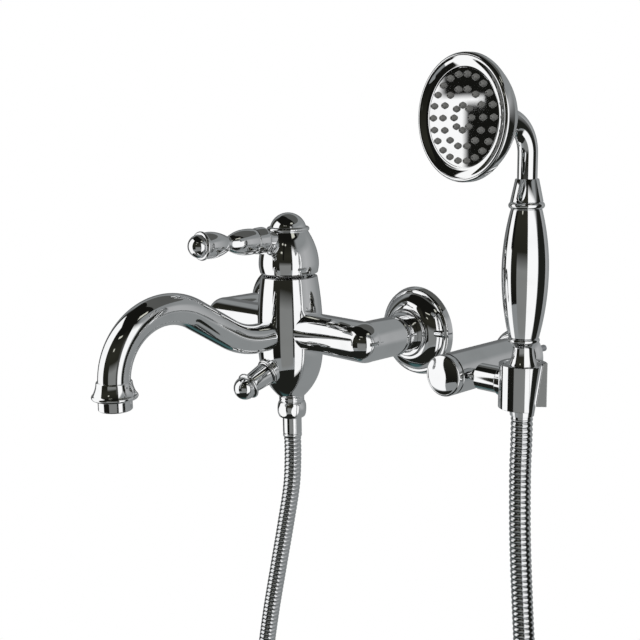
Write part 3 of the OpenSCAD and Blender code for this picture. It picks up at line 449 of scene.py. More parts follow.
class Blank:
    """A mesh in the making that turned and swept shapes are added to."""

    MERGE = 1e-7
    OPEN_STEPS = 80

    def __init__(self) -> None:
        """Starts empty."""
        self.bm = bmesh.new()

    def _add(self, shape: bmesh.types.BMesh, where: Matrix) -> Blank:
        """Closes, orients and places one shape, and adds it.

        Args:
            shape: Mesh of the shape, freed here.
            where: Placement of the shape.

        Returns:
            This blank.
        """
        bmesh.ops.remove_doubles(shape, verts=shape.verts, dist=self.MERGE)
        bmesh.ops.recalc_face_normals(shape, faces=shape.faces)
        bmesh.ops.transform(shape, matrix=where, verts=shape.verts)
        scratch = new_mesh("scratch", shape)
        self.bm.from_mesh(scratch)
        bpy.data.meshes.remove(scratch)
        return self

    def turned(self, outline: Outline, where: Matrix, steps: int = 112) -> Blank:
        """Spins an outline about the local z axis, as a ring if neither end is on the axis.

        Args:
            outline: Radius and height of each point in millimetres.
            where: Placement of the axis.
            steps: Segments round the axis.

        Returns:
            This blank.
        """
        bm = bmesh.new()
        verts = [bm.verts.new((r * MM, 0.0, z * MM)) for r, z in outline]
        pairs = list(zip(verts, verts[1:]))
        if outline[0][0] > 0 and outline[-1][0] > 0:
            pairs.append((verts[-1], verts[0]))
        geom = [*verts, *map(bm.edges.new, pairs)]
        round_z = {"cent": (0, 0, 0), "axis": (0, 0, 1), "angle": 2 * math.pi}
        bmesh.ops.spin(bm, geom=geom, steps=steps, use_merge=True, **round_z)
        return self._add(bm, where)

    def opened(self, outline: Outline, where: Matrix, start: float, sweep: float) -> Blank:
        """Spins a closed outline part of the way round and closes its two ends.

        Args:
            outline: Radius and height of each point in millimetres.
            where: Placement of the axis.
            start: First angle in degrees.
            sweep: Angle that is swept, in degrees.

        Returns:
            This blank.
        """
        bm = bmesh.new()
        first = bm.faces.new([bm.verts.new((r * MM, 0.0, z * MM)) for r, z in outline])
        bmesh.ops.rotate(bm, verts=first.verts, cent=(0, 0, 0), matrix=turn_z(start).to_3x3())
        round_z = {"cent": (0, 0, 0), "axis": (0, 0, 1), "angle": math.radians(sweep)}
        bmesh.ops.spin(bm, geom=[first], steps=self.OPEN_STEPS, **round_z)
        return self._add(bm, where)

    def flat(self, point: Vector, out: Vector) -> None:
        """Mills a flat: cuts away what lies outside a plane and closes the cut.

        Args:
            point: Point of the plane in millimetres.
            out: Outward direction of the plane.
        """
        bm = self.bm
        geom = [*bm.verts, *bm.edges, *bm.faces]
        plane = {"plane_co": point * MM, "plane_no": out, "clear_outer": True}
        cut = bmesh.ops.bisect_plane(bm, geom=geom, dist=self.MERGE, **plane)["geom_cut"]
        rim = [e for e in cut if isinstance(e, bmesh.types.BMEdge) and e.is_boundary]
        bmesh.ops.contextual_create(bm, geom=rim)
        bmesh.ops.recalc_face_normals(bm, faces=bm.faces)

    def swept(
        self, route: Sequence[Vector], radii: Sequence[float], sides: int, side: Vector, where: Matrix
    ) -> Blank:
        """Wraps a grid round a route as a tube with closed ends.

        Args:
            route: Points of the axis in millimetres.
            radii: Tube radius at each point.
            sides: Segments round the tube.
            side: Direction that is never along the route, for the frames.
            where: Placement of the route.

        Returns:
            This blank.
        """
        bm, rings = bmesh.new(), len(route)
        made = bmesh.ops.create_grid(bm, x_segments=sides, y_segments=rings - 1, size=0.5)["verts"]
        frames = []
        for i, here in enumerate(route):
            along = (route[min(i + 1, rings - 1)] - route[max(i - 1, 0)]).normalized()
            across = side.cross(along).normalized()
            frames.append((here, across, along.cross(across)))
        for vert in made:
            angle = 2 * math.pi * (vert.co.x + 0.5)
            ring = round((vert.co.y + 0.5) * (rings - 1))
            here, across, up = frames[ring]
            spoke = across * math.cos(angle) + up * math.sin(angle)
            vert.co = (here + spoke * radii[ring]) * MM
        bmesh.ops.remove_doubles(bm, verts=bm.verts, dist=self.MERGE)
        bmesh.ops.holes_fill(bm, edges=[e for e in bm.edges if e.is_boundary], sides=0)
        return self._add(bm, where)

    def tube(self, points: Outline, r: float, sides: int, where: Matrix) -> Blank:
        """Wraps a plain tube round points of y and z."""
        route = [Vector((0, y, z)) for y, z in points]
        return self.swept(route, [r] * len(route), sides, Vector((1, 0, 0)), where)

    def piece(self, name: str, bevel: float = 0.0, crease: float = 38.0) -> bpy.types.Object:
        """Ends the blank as an object with smooth shading and crisp edges.

        Args:
            name: Object name.
            bevel: Edge bevel in millimetres, or 0 for none.
            crease: Angle in degrees above which an edge stays crisp.

        Returns:
            The new object at the origin.
        """
        for face in self.bm.faces:
            face.smooth = True
        mesh = new_mesh(name, self.bm)
        mesh.set_sharp_from_angle(angle=math.radians(crease))
        obj = new_object(name, mesh)
        if bevel:
            edge = obj.modifiers.new("edge", "BEVEL")
            edge.width = bevel * MM
            edge.segments = 2
            edge.limit_method = "ANGLE"
            edge.angle_limit = math.radians(crease)
        return obj


# Dressing


@dataclass
class Dresser:
    """Gives pieces their finish and body, and keeps count of the solids they stand for."""

    made: dict[Finish, bpy.types.Material] = field(default_factory=dict)
    done: set[str] = field(default_factory=set)

    def paint(self, obj: bpy.types.Object, finish: Finish) -> None:
        """Gives a piece the material of a finish, built at its first use.

        Args:
            obj: Piece to paint.
            finish: Finish of the piece.
        """
        if finish not in self.made:
            self.made[finish] = finish.value.material()
        obj.data.materials.append(self.made[finish])

    def record(self, obj: bpy.types.Object, finish: Finish, *nodes: str) -> None:
        """Hides and records the solids of a piece, and logs it.

        Args:
            obj: Piece.
            finish: Not used.
            nodes: Solids that the piece stands for.
        """
        if nodes:
            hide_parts(*nodes)
            self.done.update(nodes)
        solids = ", ".join(nodes) or "no solid"
        log.info("%s: %d vertices, for %s", obj.name, len(obj.data.vertices), solids)

    def fit(self, obj: bpy.types.Object, body: Body, finish: Finish, *nodes: str) -> bpy.types.Object:
        """Dresses one piece.

        Args:
            obj: Piece to dress.
            body: Body that it rides on.
            finish: Finish of the piece.
            nodes: Solids that the piece stands for.

        Returns:
            The same piece.
        """
        self.paint(obj, finish)
        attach(obj, body.value)
        self.record(obj, finish, *nodes)
        return obj

    def solids(self, frame: dict[str, Any]) -> None:
        """Gives the solids that no piece stands for the finish of their slot.

        Args:
            frame: Loaded frame.
        """
        slots = {s["node"]: s["material_slot"] for s in frame["record"]["subparts"]}
        for name, obj in frame["nodes"].items():
            if name in self.done:
                continue
            finish = Finish.CHROME if name in SEAM_SOLIDS else Finish[slots[name].upper()]
            obj.data.materials.clear()
            self.paint(obj, finish)
            log.info("%s keeps its solid, finish %s", name, finish.value.name)


# Solids that show as bright rings in the seams
SEAM_SOLIDS = ("cartridge_nut",)


# Sub-assemblies


@dataclass
class SubAssembly:
    """Chrome pieces that are built together; body is the one that most of them ride on."""

    dress: Dresser
    body: Body = Body.ROOT

    def chrome(
        self, blank: Blank, name: str, bevel: float = 0.0, body: Body | None = None
    ) -> bpy.types.Object:
        """Ends a blank as the chrome piece name_skin, which stands for the solid called name."""
        obj = blank.piece(f"{name}_skin", bevel)
        return self.dress.fit(obj, body or self.body, Finish.CHROME, name)

    def turn(
        self, name: str, outline: Outline, where: Matrix, bevel: float = 0.0, body: Body | None = None
    ) -> bpy.types.Object:
        """Turns an outline about an axis as one chrome piece."""
        return self.chrome(Blank().turned(outline, where), name, bevel, body)


@dataclass
class WallInlets(SubAssembly):
    """Rosettes and unions that join the mixer to the wall."""

    stud_r: float = 10.48
    stud_len: float = 18.0
    neck_r: float = 12.2
    washer: float = 1.4
    plug_r: float = 10.0
    plug: float = 9.0
    bore_r: float = 6.5
    rosette_r: float = 31.5
    rosette_depth: float = 15.0

    def rosette_outline(self) -> Outline:
        """The closed outline of a rosette shell, from bore to rim and back.

        Returns:
            Its points.
        """
        rim, depth, neck = self.rosette_r, self.rosette_depth, self.neck_r
        run, lip = rim - neck - 8.6, neck + 4.2
        crown = [
            (rim - 4 - run * t, 5.2 + (depth - 6.8) * math.sin(math.pi / 2 * t) ** 0.75) for t in shares(28)
        ]
        return [
            (neck + 0.15, 0), (neck + 1.75, 0), (neck + 1.75, depth - 4.2), (neck + 6.5, depth - 5.2),
            (rim - 9, 5.4), (rim - 3.4, 3.2), (rim - 3.4, 0), (rim - 1.6, 0),
            *arc(rim - 0.8, 0.8, 0.8, -60, 15, 5),
            *arc(rim - 2.9, 3.3, 1.9, 20, 80, 8),
            *crown,
            *arc(lip - 0.9, depth - 0.9, 0.9, 0, 90, 6),
            (neck + 0.15, depth),
        ]

    def union_outline(self) -> Outline:
        """The closed outline of a union, from its stud in the wall to its plug in the arm.

        Returns:
            Its points.
        """
        stud, neck, bore, plug = self.stud_r, self.neck_r, self.bore_r, self.plug_r
        low, face, top = -self.stud_len, ARM_GAP - self.washer, ARM_GAP + self.plug
        return [
            (bore, low), (stud - 1, low), (stud, low + 1), (stud, 0), (neck, 0), (neck, face - 0.4),
            (neck - 0.4, face), (plug, face), (plug, top), (bore, top),
        ]

    def build(self) -> None:
        """Builds both sides."""
        for side, word in ((-1, "left"), (1, "right")):
            where = place(side * PITCH / 2, 0, 0) @ FACING
            self.turn(f"rosette_{word}", self.rosette_outline(), where)
            self.turn(f"inlet_union_{word}", self.union_outline(), where)


@dataclass
class MixerBody(SubAssembly):
    """Cast body with its two elbow arms."""

    arm_r: float = 14.0
    arm_root: float = 12.0
    belly_r: float = 23.8
    belly_z: float = -2.0
    belly_power: float = 3.5
    top_r: float = 20.5
    top_z: float = 38.3
    edge: float = 0.5
    bore_r: float = 17.45
    ring_r: float = 18.65
    ring_z: float = 32.7
    seat_z: float = 9.0
    fillet: float = 0.9
    fillet_power: float = 2.2
    arm_rings: int = 60
    steps: int = 144
    socket_r: float = 10.15
    socket: float = 10.0

    def outline(self) -> Outline:
        """Outline of the body from its foot to its cartridge seat.

        Returns:
            Its points.
        """
        shoulder = self.top_z - self.edge
        return [
            (0, FOOT_Z),
            *reversed(swell(self.belly_r, self.belly_z, FOOT_R, FOOT_Z, self.belly_power, 40)),
            *swell(self.belly_r, self.belly_z, self.top_r, shoulder, 2, 24)[1:],
            *arc(self.top_r - self.edge, shoulder, self.edge, 0, 90, 5),
            (self.ring_r, self.top_z), (self.ring_r, self.ring_z),
            (self.bore_r, self.ring_z), (self.bore_r, self.seat_z), (0, self.seat_z),
        ]

    def arm_outline(self) -> Outline:
        """Outline of an arm from the body axis to the round end of its elbow.

        Returns:
            Its points.
        """
        root, half, reach = self.arm_root, PITCH / 2, self.belly_r + self.fillet
        run = [root + (half - root) * i / self.arm_rings for i in range(self.arm_rings)]
        near = [max(0.0, (reach - x) / (reach - root)) for x in run]
        flare = [(self.arm_r + self.fillet * share**self.fillet_power, x) for share, x in zip(near, run)]
        return [(0, root), *flare, *arc(0, half, self.arm_r, 0, 90, 24)]

    def build(self) -> None:
        """Builds body and arms as one piece."""
        blank = Blank().turned(self.outline(), MIXER, self.steps)
        back, wall = AXIS_OUT - ARM_GAP, self.arm_r - 0.15
        elbow = [
            (0, 0), (wall, 0), *arc(wall - self.edge, back - self.edge, self.edge, 0, 90, 5),
            (self.socket_r, back), (self.socket_r, back - self.socket), (0, back - self.socket),
        ]
        for side in (-1, 1):
            blank.turned(self.arm_outline(), MIXER @ turn_y(90 * side))
            blank.turned(elbow, place(side * PITCH / 2, -AXIS_OUT, 0) @ turn_x(-90))
        self.chrome(blank, "mixer_body")


@dataclass
class Lever(SubAssembly):
    """Hood, finial and turned lever on the body."""

    body: Body = Body.LIFT
    rim_z: float = 40.8
    rim_r: float = 20.8
    rim_edge: float = 0.3
    belly_r: float = 21.7
    belly_h: float = 6.5
    neck_r: float = 14.8
    height: float = 33.2
    wall: float = 1.5
    hood_steps: int = 128
    finial_r: float = 13.4
    finial_cut: float = 0.26
    lever_h: float = 24.6
    rise: float = 1.2
    reach: float = 87.0
    bulb_r: float = 9.1
    waist_r: float = 4.6
    ball_r: float = 8.0

    @property
    def ring(self) -> float:
        """Place of the end ring along the lever."""
        return self.reach - self.ball_r - 1.5

    def hood_outline(self) -> Outline:
        """Outline of the hood from its inside over the rim to its top.

        Returns:
            Its points.
        """
        rim, low, edge, swing = self.rim_r, self.rim_z, self.rim_edge, self.belly_r - self.rim_r
        top, belly = low + self.height, low + self.belly_h
        bead = top - 1.7
        inner, inner_rim = self.belly_r - self.wall, rim - self.wall
        skirt = [
            (rim + swing * math.sin(math.pi / 2 * t), low + edge + (self.belly_h - edge) * t)
            for t in shares(10)
        ]
        return [
            (0, low + 18), (inner - 5, low + 18), (inner - 0.6, low + 11), (inner, belly),
            (inner_rim, low + edge), (inner_rim + edge, low), (rim - edge, low),
            *skirt[:-1],
            *swell(self.belly_r, belly, self.neck_r, bead - 2.6, 1.9, 40),
            *arc(self.neck_r - 1.2, bead, 1.7, -70, 90, 18),
            (0, top),
        ]

    def lever_outline(self) -> Outline:
        """Outline of the turned lever from its root to its end ring.

        Returns:
            Its points.
        """
        seat, top, ring, collar = self.neck_r + 0.4, self.bulb_r, self.ring, self.neck_r + 10.2
        groove, mid = collar + 7.6, ring - 22.6
        return [
            (0, seat),
            *bulb(seat, 6.4, collar - 3.4, 6.2, -0.3, 8),
            *arc(top - 2.8, collar, 3.3, -88, -2),
            *swell(top + 0.5, collar, top - 0.3, groove - 0.4, 1.4, 12),
            (top - 0.8, groove),
            *bulb(groove + 0.3, top - 0.3, groove + 4.6, top, 0.095, 10),
            *swell(top, groove + 5, self.waist_r, mid - 0.15, 2.3, 28),
            *reversed(swell(top, ring - 6.6, self.waist_r, mid + 0.15, 1.9, 28)),
            *swell(top - 0.01, ring - 6.2, top - 0.6, ring - 1.9, 2, 8),
            *arc(top - 0.8, ring, 1.5, -75, 75),
            (5, ring + 1.5), (0, ring + 1.5),
        ]

    def build(self) -> None:
        """Builds hood, finial, lever and ball."""
        top = self.rim_z + self.height
        self.chrome(Blank().turned(self.hood_outline(), MIXER, self.hood_steps), "hood")
        finial = cut_ball(self.finial_r, top - self.finial_cut * self.finial_r, top)
        self.turn("hood_finial", finial, MIXER)
        along = place(0, -AXIS_OUT, self.rim_z + self.lever_h) @ turn_x(90 - self.rise)
        self.turn("lever", self.lever_outline(), along)
        self.turn("lever_ball", cut_ball(self.ball_r, self.reach - self.ball_r, self.ring + 1.6), along)


@dataclass
class Spout(SubAssembly):
    """Swan-neck spout with outlet bell and aerator."""

    reach: float = 150.0
    tube_r: float = 10.5
    root_z: float = -3.0
    top_z: float = 28.3
    arch_r: float = 42.0
    root_bend_r: float = 50.0
    slope: float = 31.5
    root_face: float = 23.0
    root_depth: float = 8.0
    sides: int = 72
    bell_r: float = 14.9
    bell_h: float = 12.0
    aerator_r: float = 10.95
    aerator_show: float = 6.6

    @property
    def bell_top(self) -> float:
        """Height of the bell's upper end."""
        return self.top_z - self.arch_r + 1.7

    def route(self) -> Outline:
        """The tube's axis from its root to the outlet.

        Returns:
            Places y and z of its points.
        """
        slope, arch, bend = math.radians(self.slope), self.arch_r, self.root_bend_r
        arch_y, arch_z = arch - AXIS_OUT - self.reach, self.top_z - arch
        fall = arch_z + arch * math.cos(slope) - self.root_z
        run = (fall - bend * (1 - math.cos(slope))) / math.sin(slope)
        root_y = arch_y + (arch + bend) * math.sin(slope) + run * math.cos(slope)
        return [
            (self.root_depth - AXIS_OUT - self.root_face, self.root_z),
            *arc(root_y, self.root_z + bend, bend, -90, -90 - self.slope, 24),
            *arc(arch_y, arch_z, arch, 90 - self.slope, 180, 64),
            (arch_y - arch, arch_z - 2),
        ]

    def bell_outline(self) -> Outline:
        """Closed outline of the flared bell.

        Returns:
            Its points.
        """
        tube, bell, lip, top = self.tube_r, self.bell_r, self.aerator_r + 1.1, self.bell_top
        low = top - self.bell_h
        return [
            (tube - 0.9, top - 1), (tube + 0.1, top), (tube + 0.7, top),
            *swell(tube + 1.1, top - 0.6, bell - 1.1, low + 4, 1.8, 20),
            *arc(bell - 1.6, low + 2.2, 1.6, 60, -60),
            (lip, low + 0.5), (lip, low), (tube - 0.9, low),
        ]

    def build(self) -> None:
        """Builds tube, bell and aerator shell."""
        self.chrome(Blank().tube(self.route(), self.tube_r, self.sides, Matrix()), "spout")
        outlet = place(0, -AXIS_OUT - self.reach, 0)
        self.turn("outlet_bell", self.bell_outline(), outlet)
        r, low = self.aerator_r, self.bell_top - self.bell_h
        tip = low - self.aerator_show
        shell = [
            (r - 1.4, tip), (r - 0.5, tip), (r, tip + 0.5), (r, low), (r - 1.6, low), (r - 1.6, low + 4.6),
            (r - 2.6, low + 4.6), (r - 2.6, tip + 1.6), (r - 1.4, tip + 1.6),
        ]
        self.turn("aerator_housing", shell, outlet, 0.2)


@dataclass
class Diverter(SubAssembly):
    """Pull knob at the front of the body."""

    axis_z: float = -21.0
    tilt: float = 20.0
    face: float = 24.6
    flange: float = 1.4
    bush: float = 14.2
    bush_bore: float = 7.4
    spring_r: float = 6.0
    spring_seat: float = 3.0
    spring_start: float = 5.5
    pull: float = 8.0
    slack: float = 0.02
    stem_hole: float = 3.3
    knob_r: float = 9.0
    knob_h: float = 16.8
    ball_r: float = 8.3

    @property
    def axis(self) -> Matrix:
        """Placement of the knob's axis."""
        return place(0, -AXIS_OUT, self.axis_z) @ turn_x(90 + self.tilt)

    def build(self) -> None:
        """Builds boss flange, knob and ball."""
        r, hole, bore, face = self.knob_r, self.stem_hole, self.bush_bore, self.face
        top, seat = face + self.flange, face - self.spring_seat
        boss = [
            (bore, 10), (r + 0.7, 10), (r + 0.7, face - 0.3), (r + 0.4, face), (r, face), (r, face + 0.8),
            (r - 0.6, top), (hole, top), (hole, seat), (self.spring_r, seat), (self.spring_r, self.bush),
            (bore, self.bush),
        ]
        self.turn("diverter_bush", boss, self.axis, 0.2)
        start = top + 0.6
        ring = start + self.knob_h
        knob = [
            (3.02, start), (r - 1.4, start), (r - 0.8, start + 0.6), (r - 1.9, ring - 4),
            (r - 2.4, ring - 2),
            *arc(r - 0.9, ring, 1.5, -75, 75),
            (3.4, ring + 1.5), (0, ring + 1.5),
        ]
        self.turn("diverter_knob", knob, self.axis, body=Body.DIVERTER)
        ball = cut_ball(self.ball_r, ring + 3, ring + 1.6)
        self.turn("diverter_ball", ball, self.axis, body=Body.DIVERTER)

    def press_spring(self, spring: bpy.types.Object) -> None:
        """Gives the return spring's solid a mesh of its own; how far the spring would shorten when the knob
        is pulled is worked out but not applied.

        Args:
            spring: Solid of the spring.
        """
        axis, seat = self.axis, self.face - self.spring_seat
        length = seat - self.spring_start
        keep = (length - self.pull) / length - self.slack
        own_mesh(spring)


@dataclass
class Hose(SubAssembly):
    """Ribbed metal hose with its end fittings at the mixer."""

    nut_r: float = 10.9
    nut_h: float = 12.0
    nut_turn: float = -22.0
    nut_swell: float = 1.3
    nut_flat: float = 0.8
    nut_steps: int = 144
    ferrule_r: float = 7.0
    groove: float = 0.75
    pitch: float = 3.2
    rings: int = 5
    sides: int = 20
    crest_power: float = 0.6
    crease: float = 75.0
    per_knot: int = 40
    straight_end: float = 15.0
    tail: float = 58.0
    tail_slim: float = 0.55
    bend_low: Triple = (0.190, -0.07, -0.224)
    bend_high: Triple = (0.259, -0.07, -0.131)
    start: Triple = (0.0, -AXIS_OUT, -82.0)
    end: Triple = (HAND_X, -HAND_OUT, HOSE_TOP)
    loop: tuple[Triple, ...] = (
        (-1, -57, -120), (-4, -61, -150), (-8, -66, -185), (-13, -71, -225), (-18, -75, -270),
        (-22, -78, -320), (-23, -80, -370), (-20, -81, -415), (-12, -82, -458), (3, -82, -496),
        (25, -82, -528), (54, -82, -552), (88, -82, -564), (123, -82, -564), (157, -82, -552),
        (187, -82, -528), (209, -82, -496), (225, -81, -458), (233, -80, -415), (236, -78, -370),
        (235, -76, -320), (231, -74, -270), (226, -72, -225), (221, -70, -180), (216, -68, -135),
        (212, -66, -95), (210, -64.5, -58),
    )

    def smooth(self) -> list[Vector]:
        """A smooth curve through the listed points and the straight ends.

        Returns:
            Its points, close together.
        """
        rise, start, end = Vector((0, 0, self.straight_end)), Vector(self.start), Vector(self.end)
        knots = [start + rise, start, start - rise, *map(Vector, self.loop), end - rise, end, end + rise]
        fine: list[Vector] = []
        for a, b, c, d in zip(knots, knots[1:], knots[2:], knots[3:]):
            for t in (i / self.per_knot for i in range(self.per_knot)):
                point = 2 * b + t * (c - a) + t * t * (2 * a - 5 * b + 4 * c - d)
                fine.append(0.5 * (point + t**3 * (3 * b - a - 3 * c + d)))
        return [*fine, end]

    def line(self) -> list[Vector]:
        """The axis of the hose with one point for each ring.

        Returns:
            Evenly spaced points from the lower ferrule to the upper one.
        """
        fine, along = self.smooth(), [0.0]
        for a, b in zip(fine, fine[1:]):
            along.append(along[-1] + (b - a).length)
        even, k = [], 0
        for share in shares(round(along[-1] / (self.pitch / self.rings))):
            want = along[-1] * share
            while k < len(fine) - 2 and along[k + 1] < want:
                k += 1
            t = (want - along[k]) / max(along[k + 1] - along[k], 1e-9)
            even.append(fine[k].lerp(fine[k + 1], min(max(t, 0.0), 1.0)))
        return even

    def ribbed(self, name: str, line: Sequence[Vector], slim: float = 0.0) -> bpy.types.Object:
        """Wraps a tube round a line, with rounded ribs and narrow grooves between them.

        Args:
            name: Piece name.
            line: Axis with one point for each ring.
            slim: Taken off every radius.

        Returns:
            The piece.
        """
        waves = [math.sin(math.pi * (i % self.rings) / self.rings) for i in range(len(line))]
        radii = [HOSE_R - self.groove * (1 - wave**self.crest_power) - slim for wave in waves]
        tube = Blank().swept(line, radii, self.sides, Vector((0, 1, 0)), Matrix())
        return tube.piece(name, crease=self.crease)

    def fittings(self) -> list[bpy.types.Object]:
        """Builds nipple, nut and ferrule.

        Returns:
            Nut and ferrule of the hose.
        """
        collar, foot, low = FOOT_R + 0.3, FOOT_Z, FOOT_Z - 3
        nut_top = low - 0.5
        nut_low = nut_top - self.nut_h
        nipple = [
            (0, foot + 2), (8.2, foot + 2), (8.2, foot), (collar - 0.2, foot), (collar, foot - 0.2),
            (collar, foot - 1.1), (collar - 0.6, foot - 1.5), (collar, foot - 1.9), (collar, low + 0.2),
            (collar - 0.2, low), (THREAD_R, low), (THREAD_R, low - 6), (0, low - 6),
        ]
        self.turn("outlet_nipple", nipple, MIXER)
        bore, face = self.ferrule_r + 0.15, self.nut_r - 2
        swollen = [
            (self.nut_r - self.nut_swell * (2 * t - 1) ** 2, nut_low + 0.5 + (self.nut_h - 1) * t)
            for t in shares(24)
        ]
        nut = [(bore, nut_low), (face, nut_low), *swollen, (face, nut_top), (bore, nut_top)]
        blank = Blank().turned(nut, MIXER, self.nut_steps)
        for i in range(6):
            angle = math.radians(60 * i + self.nut_turn)
            out = Vector((math.cos(angle), math.sin(angle), 0))
            blank.flat(Vector((0, -AXIS_OUT, nut_low)) + out * (self.nut_r - self.nut_flat), out)
        wall, end = self.ferrule_r, self.start[2]
        ferrule = [
            (0, nut_low + 4), (wall, nut_low + 4), (wall, end + 3.4), (wall - 0.5, end + 2.9),
            (wall, end + 2.4), (wall, end + 0.6), (wall - 0.4, end + 0.05), (0, end + 0.05),
        ]
        return [self.chrome(blank, "hose_nut", 0.15), self.turn("lower_ferrule", ferrule, MIXER, 0.15)]

    def build(self) -> None:
        """Builds the fittings, the hose and the hose tail behind the hand shower."""
        fittings = self.fittings()
        line = self.line()
        hose = self.ribbed("shower_hose_ribs", line)
        self.dress.paint(hose, Finish.HOSE)
        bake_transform(hose)
        self.dress.record(hose, Finish.HOSE, "shower_hose")
        path = line[:: self.rings] + [line[-1]]
        length = sum((b - a).length for a, b in zip(path, path[1:])) * MM
        log.info("hose length %.3f m", length)
        [tuple(p * MM) for p in path]
        top, count = Vector(self.end), round(self.tail / (self.pitch / self.rings))
        straight = [top - Vector((0, 0, self.tail * (1 - t))) for t in shares(count)]
        tail = self.ribbed("shower_hose_tail", straight, self.tail_slim)
        self.dress.fit(tail, Body.HANDSET, Finish.HOSE)


@dataclass
class Holder(SubAssembly):
    """Wall holder with its turning clip."""

    x: float = 163.0
    z: float = -4.0
    out: float = 78.5
    cap_dome: float = 2.6
    cap_h: float = 3.8
    plug_r: float = 7.4
    arm_r: float = 12.8
    bore_r: float = 9.6
    bore: float = 40.0
    flange_r: float = 17.5
    flange_depth: float = 9.0
    flange_edge: float = 1.6
    boss_h: float = 3.2
    clip_r: float = 13.9
    mouth_half: float = 38.0
    stub_r: float = 8.0
    pivot_r: float = 2.8
    gap: float = 0.3

    @property
    def pivot(self) -> Matrix:
        """Placement of the clip's pivot axis."""
        return place(0, -HAND_OUT, self.z) @ SIDEWAYS

    @property
    def face(self) -> float:
        """Place of the arm's side boss along the pivot axis."""
        return self.x + self.arm_r + self.boss_h

    def build(self) -> None:
        """Builds flange, arm, cap, stub and clip."""
        axis = place(self.x, 0, self.z) @ FACING
        rim, arm, depth, edge = self.flange_r, self.arm_r, self.flange_depth, self.flange_edge
        dome = arc(arm + 1, edge, rim - arm - 1, 0, 90, 24, depth - edge)
        flange = [(arm + 0.1, 0), (rim - 0.3, 0), (rim, 0.3), *dome, (arm + 0.1, depth)]
        self.turn("holder_flange", flange, axis)
        front, bore, plug, pin = self.out - self.cap_h, self.bore_r, self.plug_r, self.pivot_r
        tube = [
            (bore, 0.6), (arm - 0.3, 0.6), (arm, 0.9), (arm, front - 0.3), (arm - 0.3, front),
            (plug + 0.2, front), (plug + 0.2, front - 6), (0, front - 6), (0, self.bore), (bore, self.bore),
        ]
        low, high, face, hub, hole = self.x + 2, self.x + 4, self.face, pin + 1.2, pin + 0.3
        boss = [(0, low), (hub, low), (hub, face), (hole, face), (hole, high), (0, high)]
        self.chrome(Blank().turned(tube, axis).turned(boss, self.pivot), "holder_arm")
        rise = self.cap_dome / 2
        cap = [
            (0, front - 4), (plug, front - 4), (plug, front), (arm - 1.2, front), (arm - 1.2, front + 0.8),
            (arm - 0.25, front + 0.8), (arm, front + 1.05),
            *arc(arm - rise, self.out, rise, 0, 80, 8),
            *reversed(dish(0, self.out + 2 * rise, arm - rise, self.out + rise, 3)),
        ]
        self.turn("holder_cap", cap, axis)
        self.build_clip()

    def build_clip(self) -> None:
        """Builds the turning stub and the clip."""
        r, pin, clip = self.stub_r, self.pivot_r, self.clip_r
        tail, start, pad = self.x - 3, self.face + 1, HAND_X - clip - 0.4
        stub = [
            (0, tail), (pin, tail), (pin, start), (r - 0.3, start), (r, start + 0.3), (r, pad), (0, pad),
        ]
        self.turn("clip_stub", stub, self.pivot, body=Body.CLIP)
        low_r, top_r = CONE_SMALL_R + self.gap, CONE_R + self.gap
        wall = [(low_r, CLIP_LOW), (clip, CLIP_LOW), (clip, CLIP_TOP), (top_r, CLIP_TOP)]
        sweep = 360 - 2 * self.mouth_half
        blank = Blank().opened(wall, HANDLE, self.mouth_half, sweep)
        seat = [(0, pad), (r + 0.9, pad), (r + 1.2, pad + 0.3), (r + 1.2, pad + 4), (0, pad + 4)]
        self.chrome(blank.turned(seat, self.pivot), "holder_clip", 0.5, Body.CLIP)


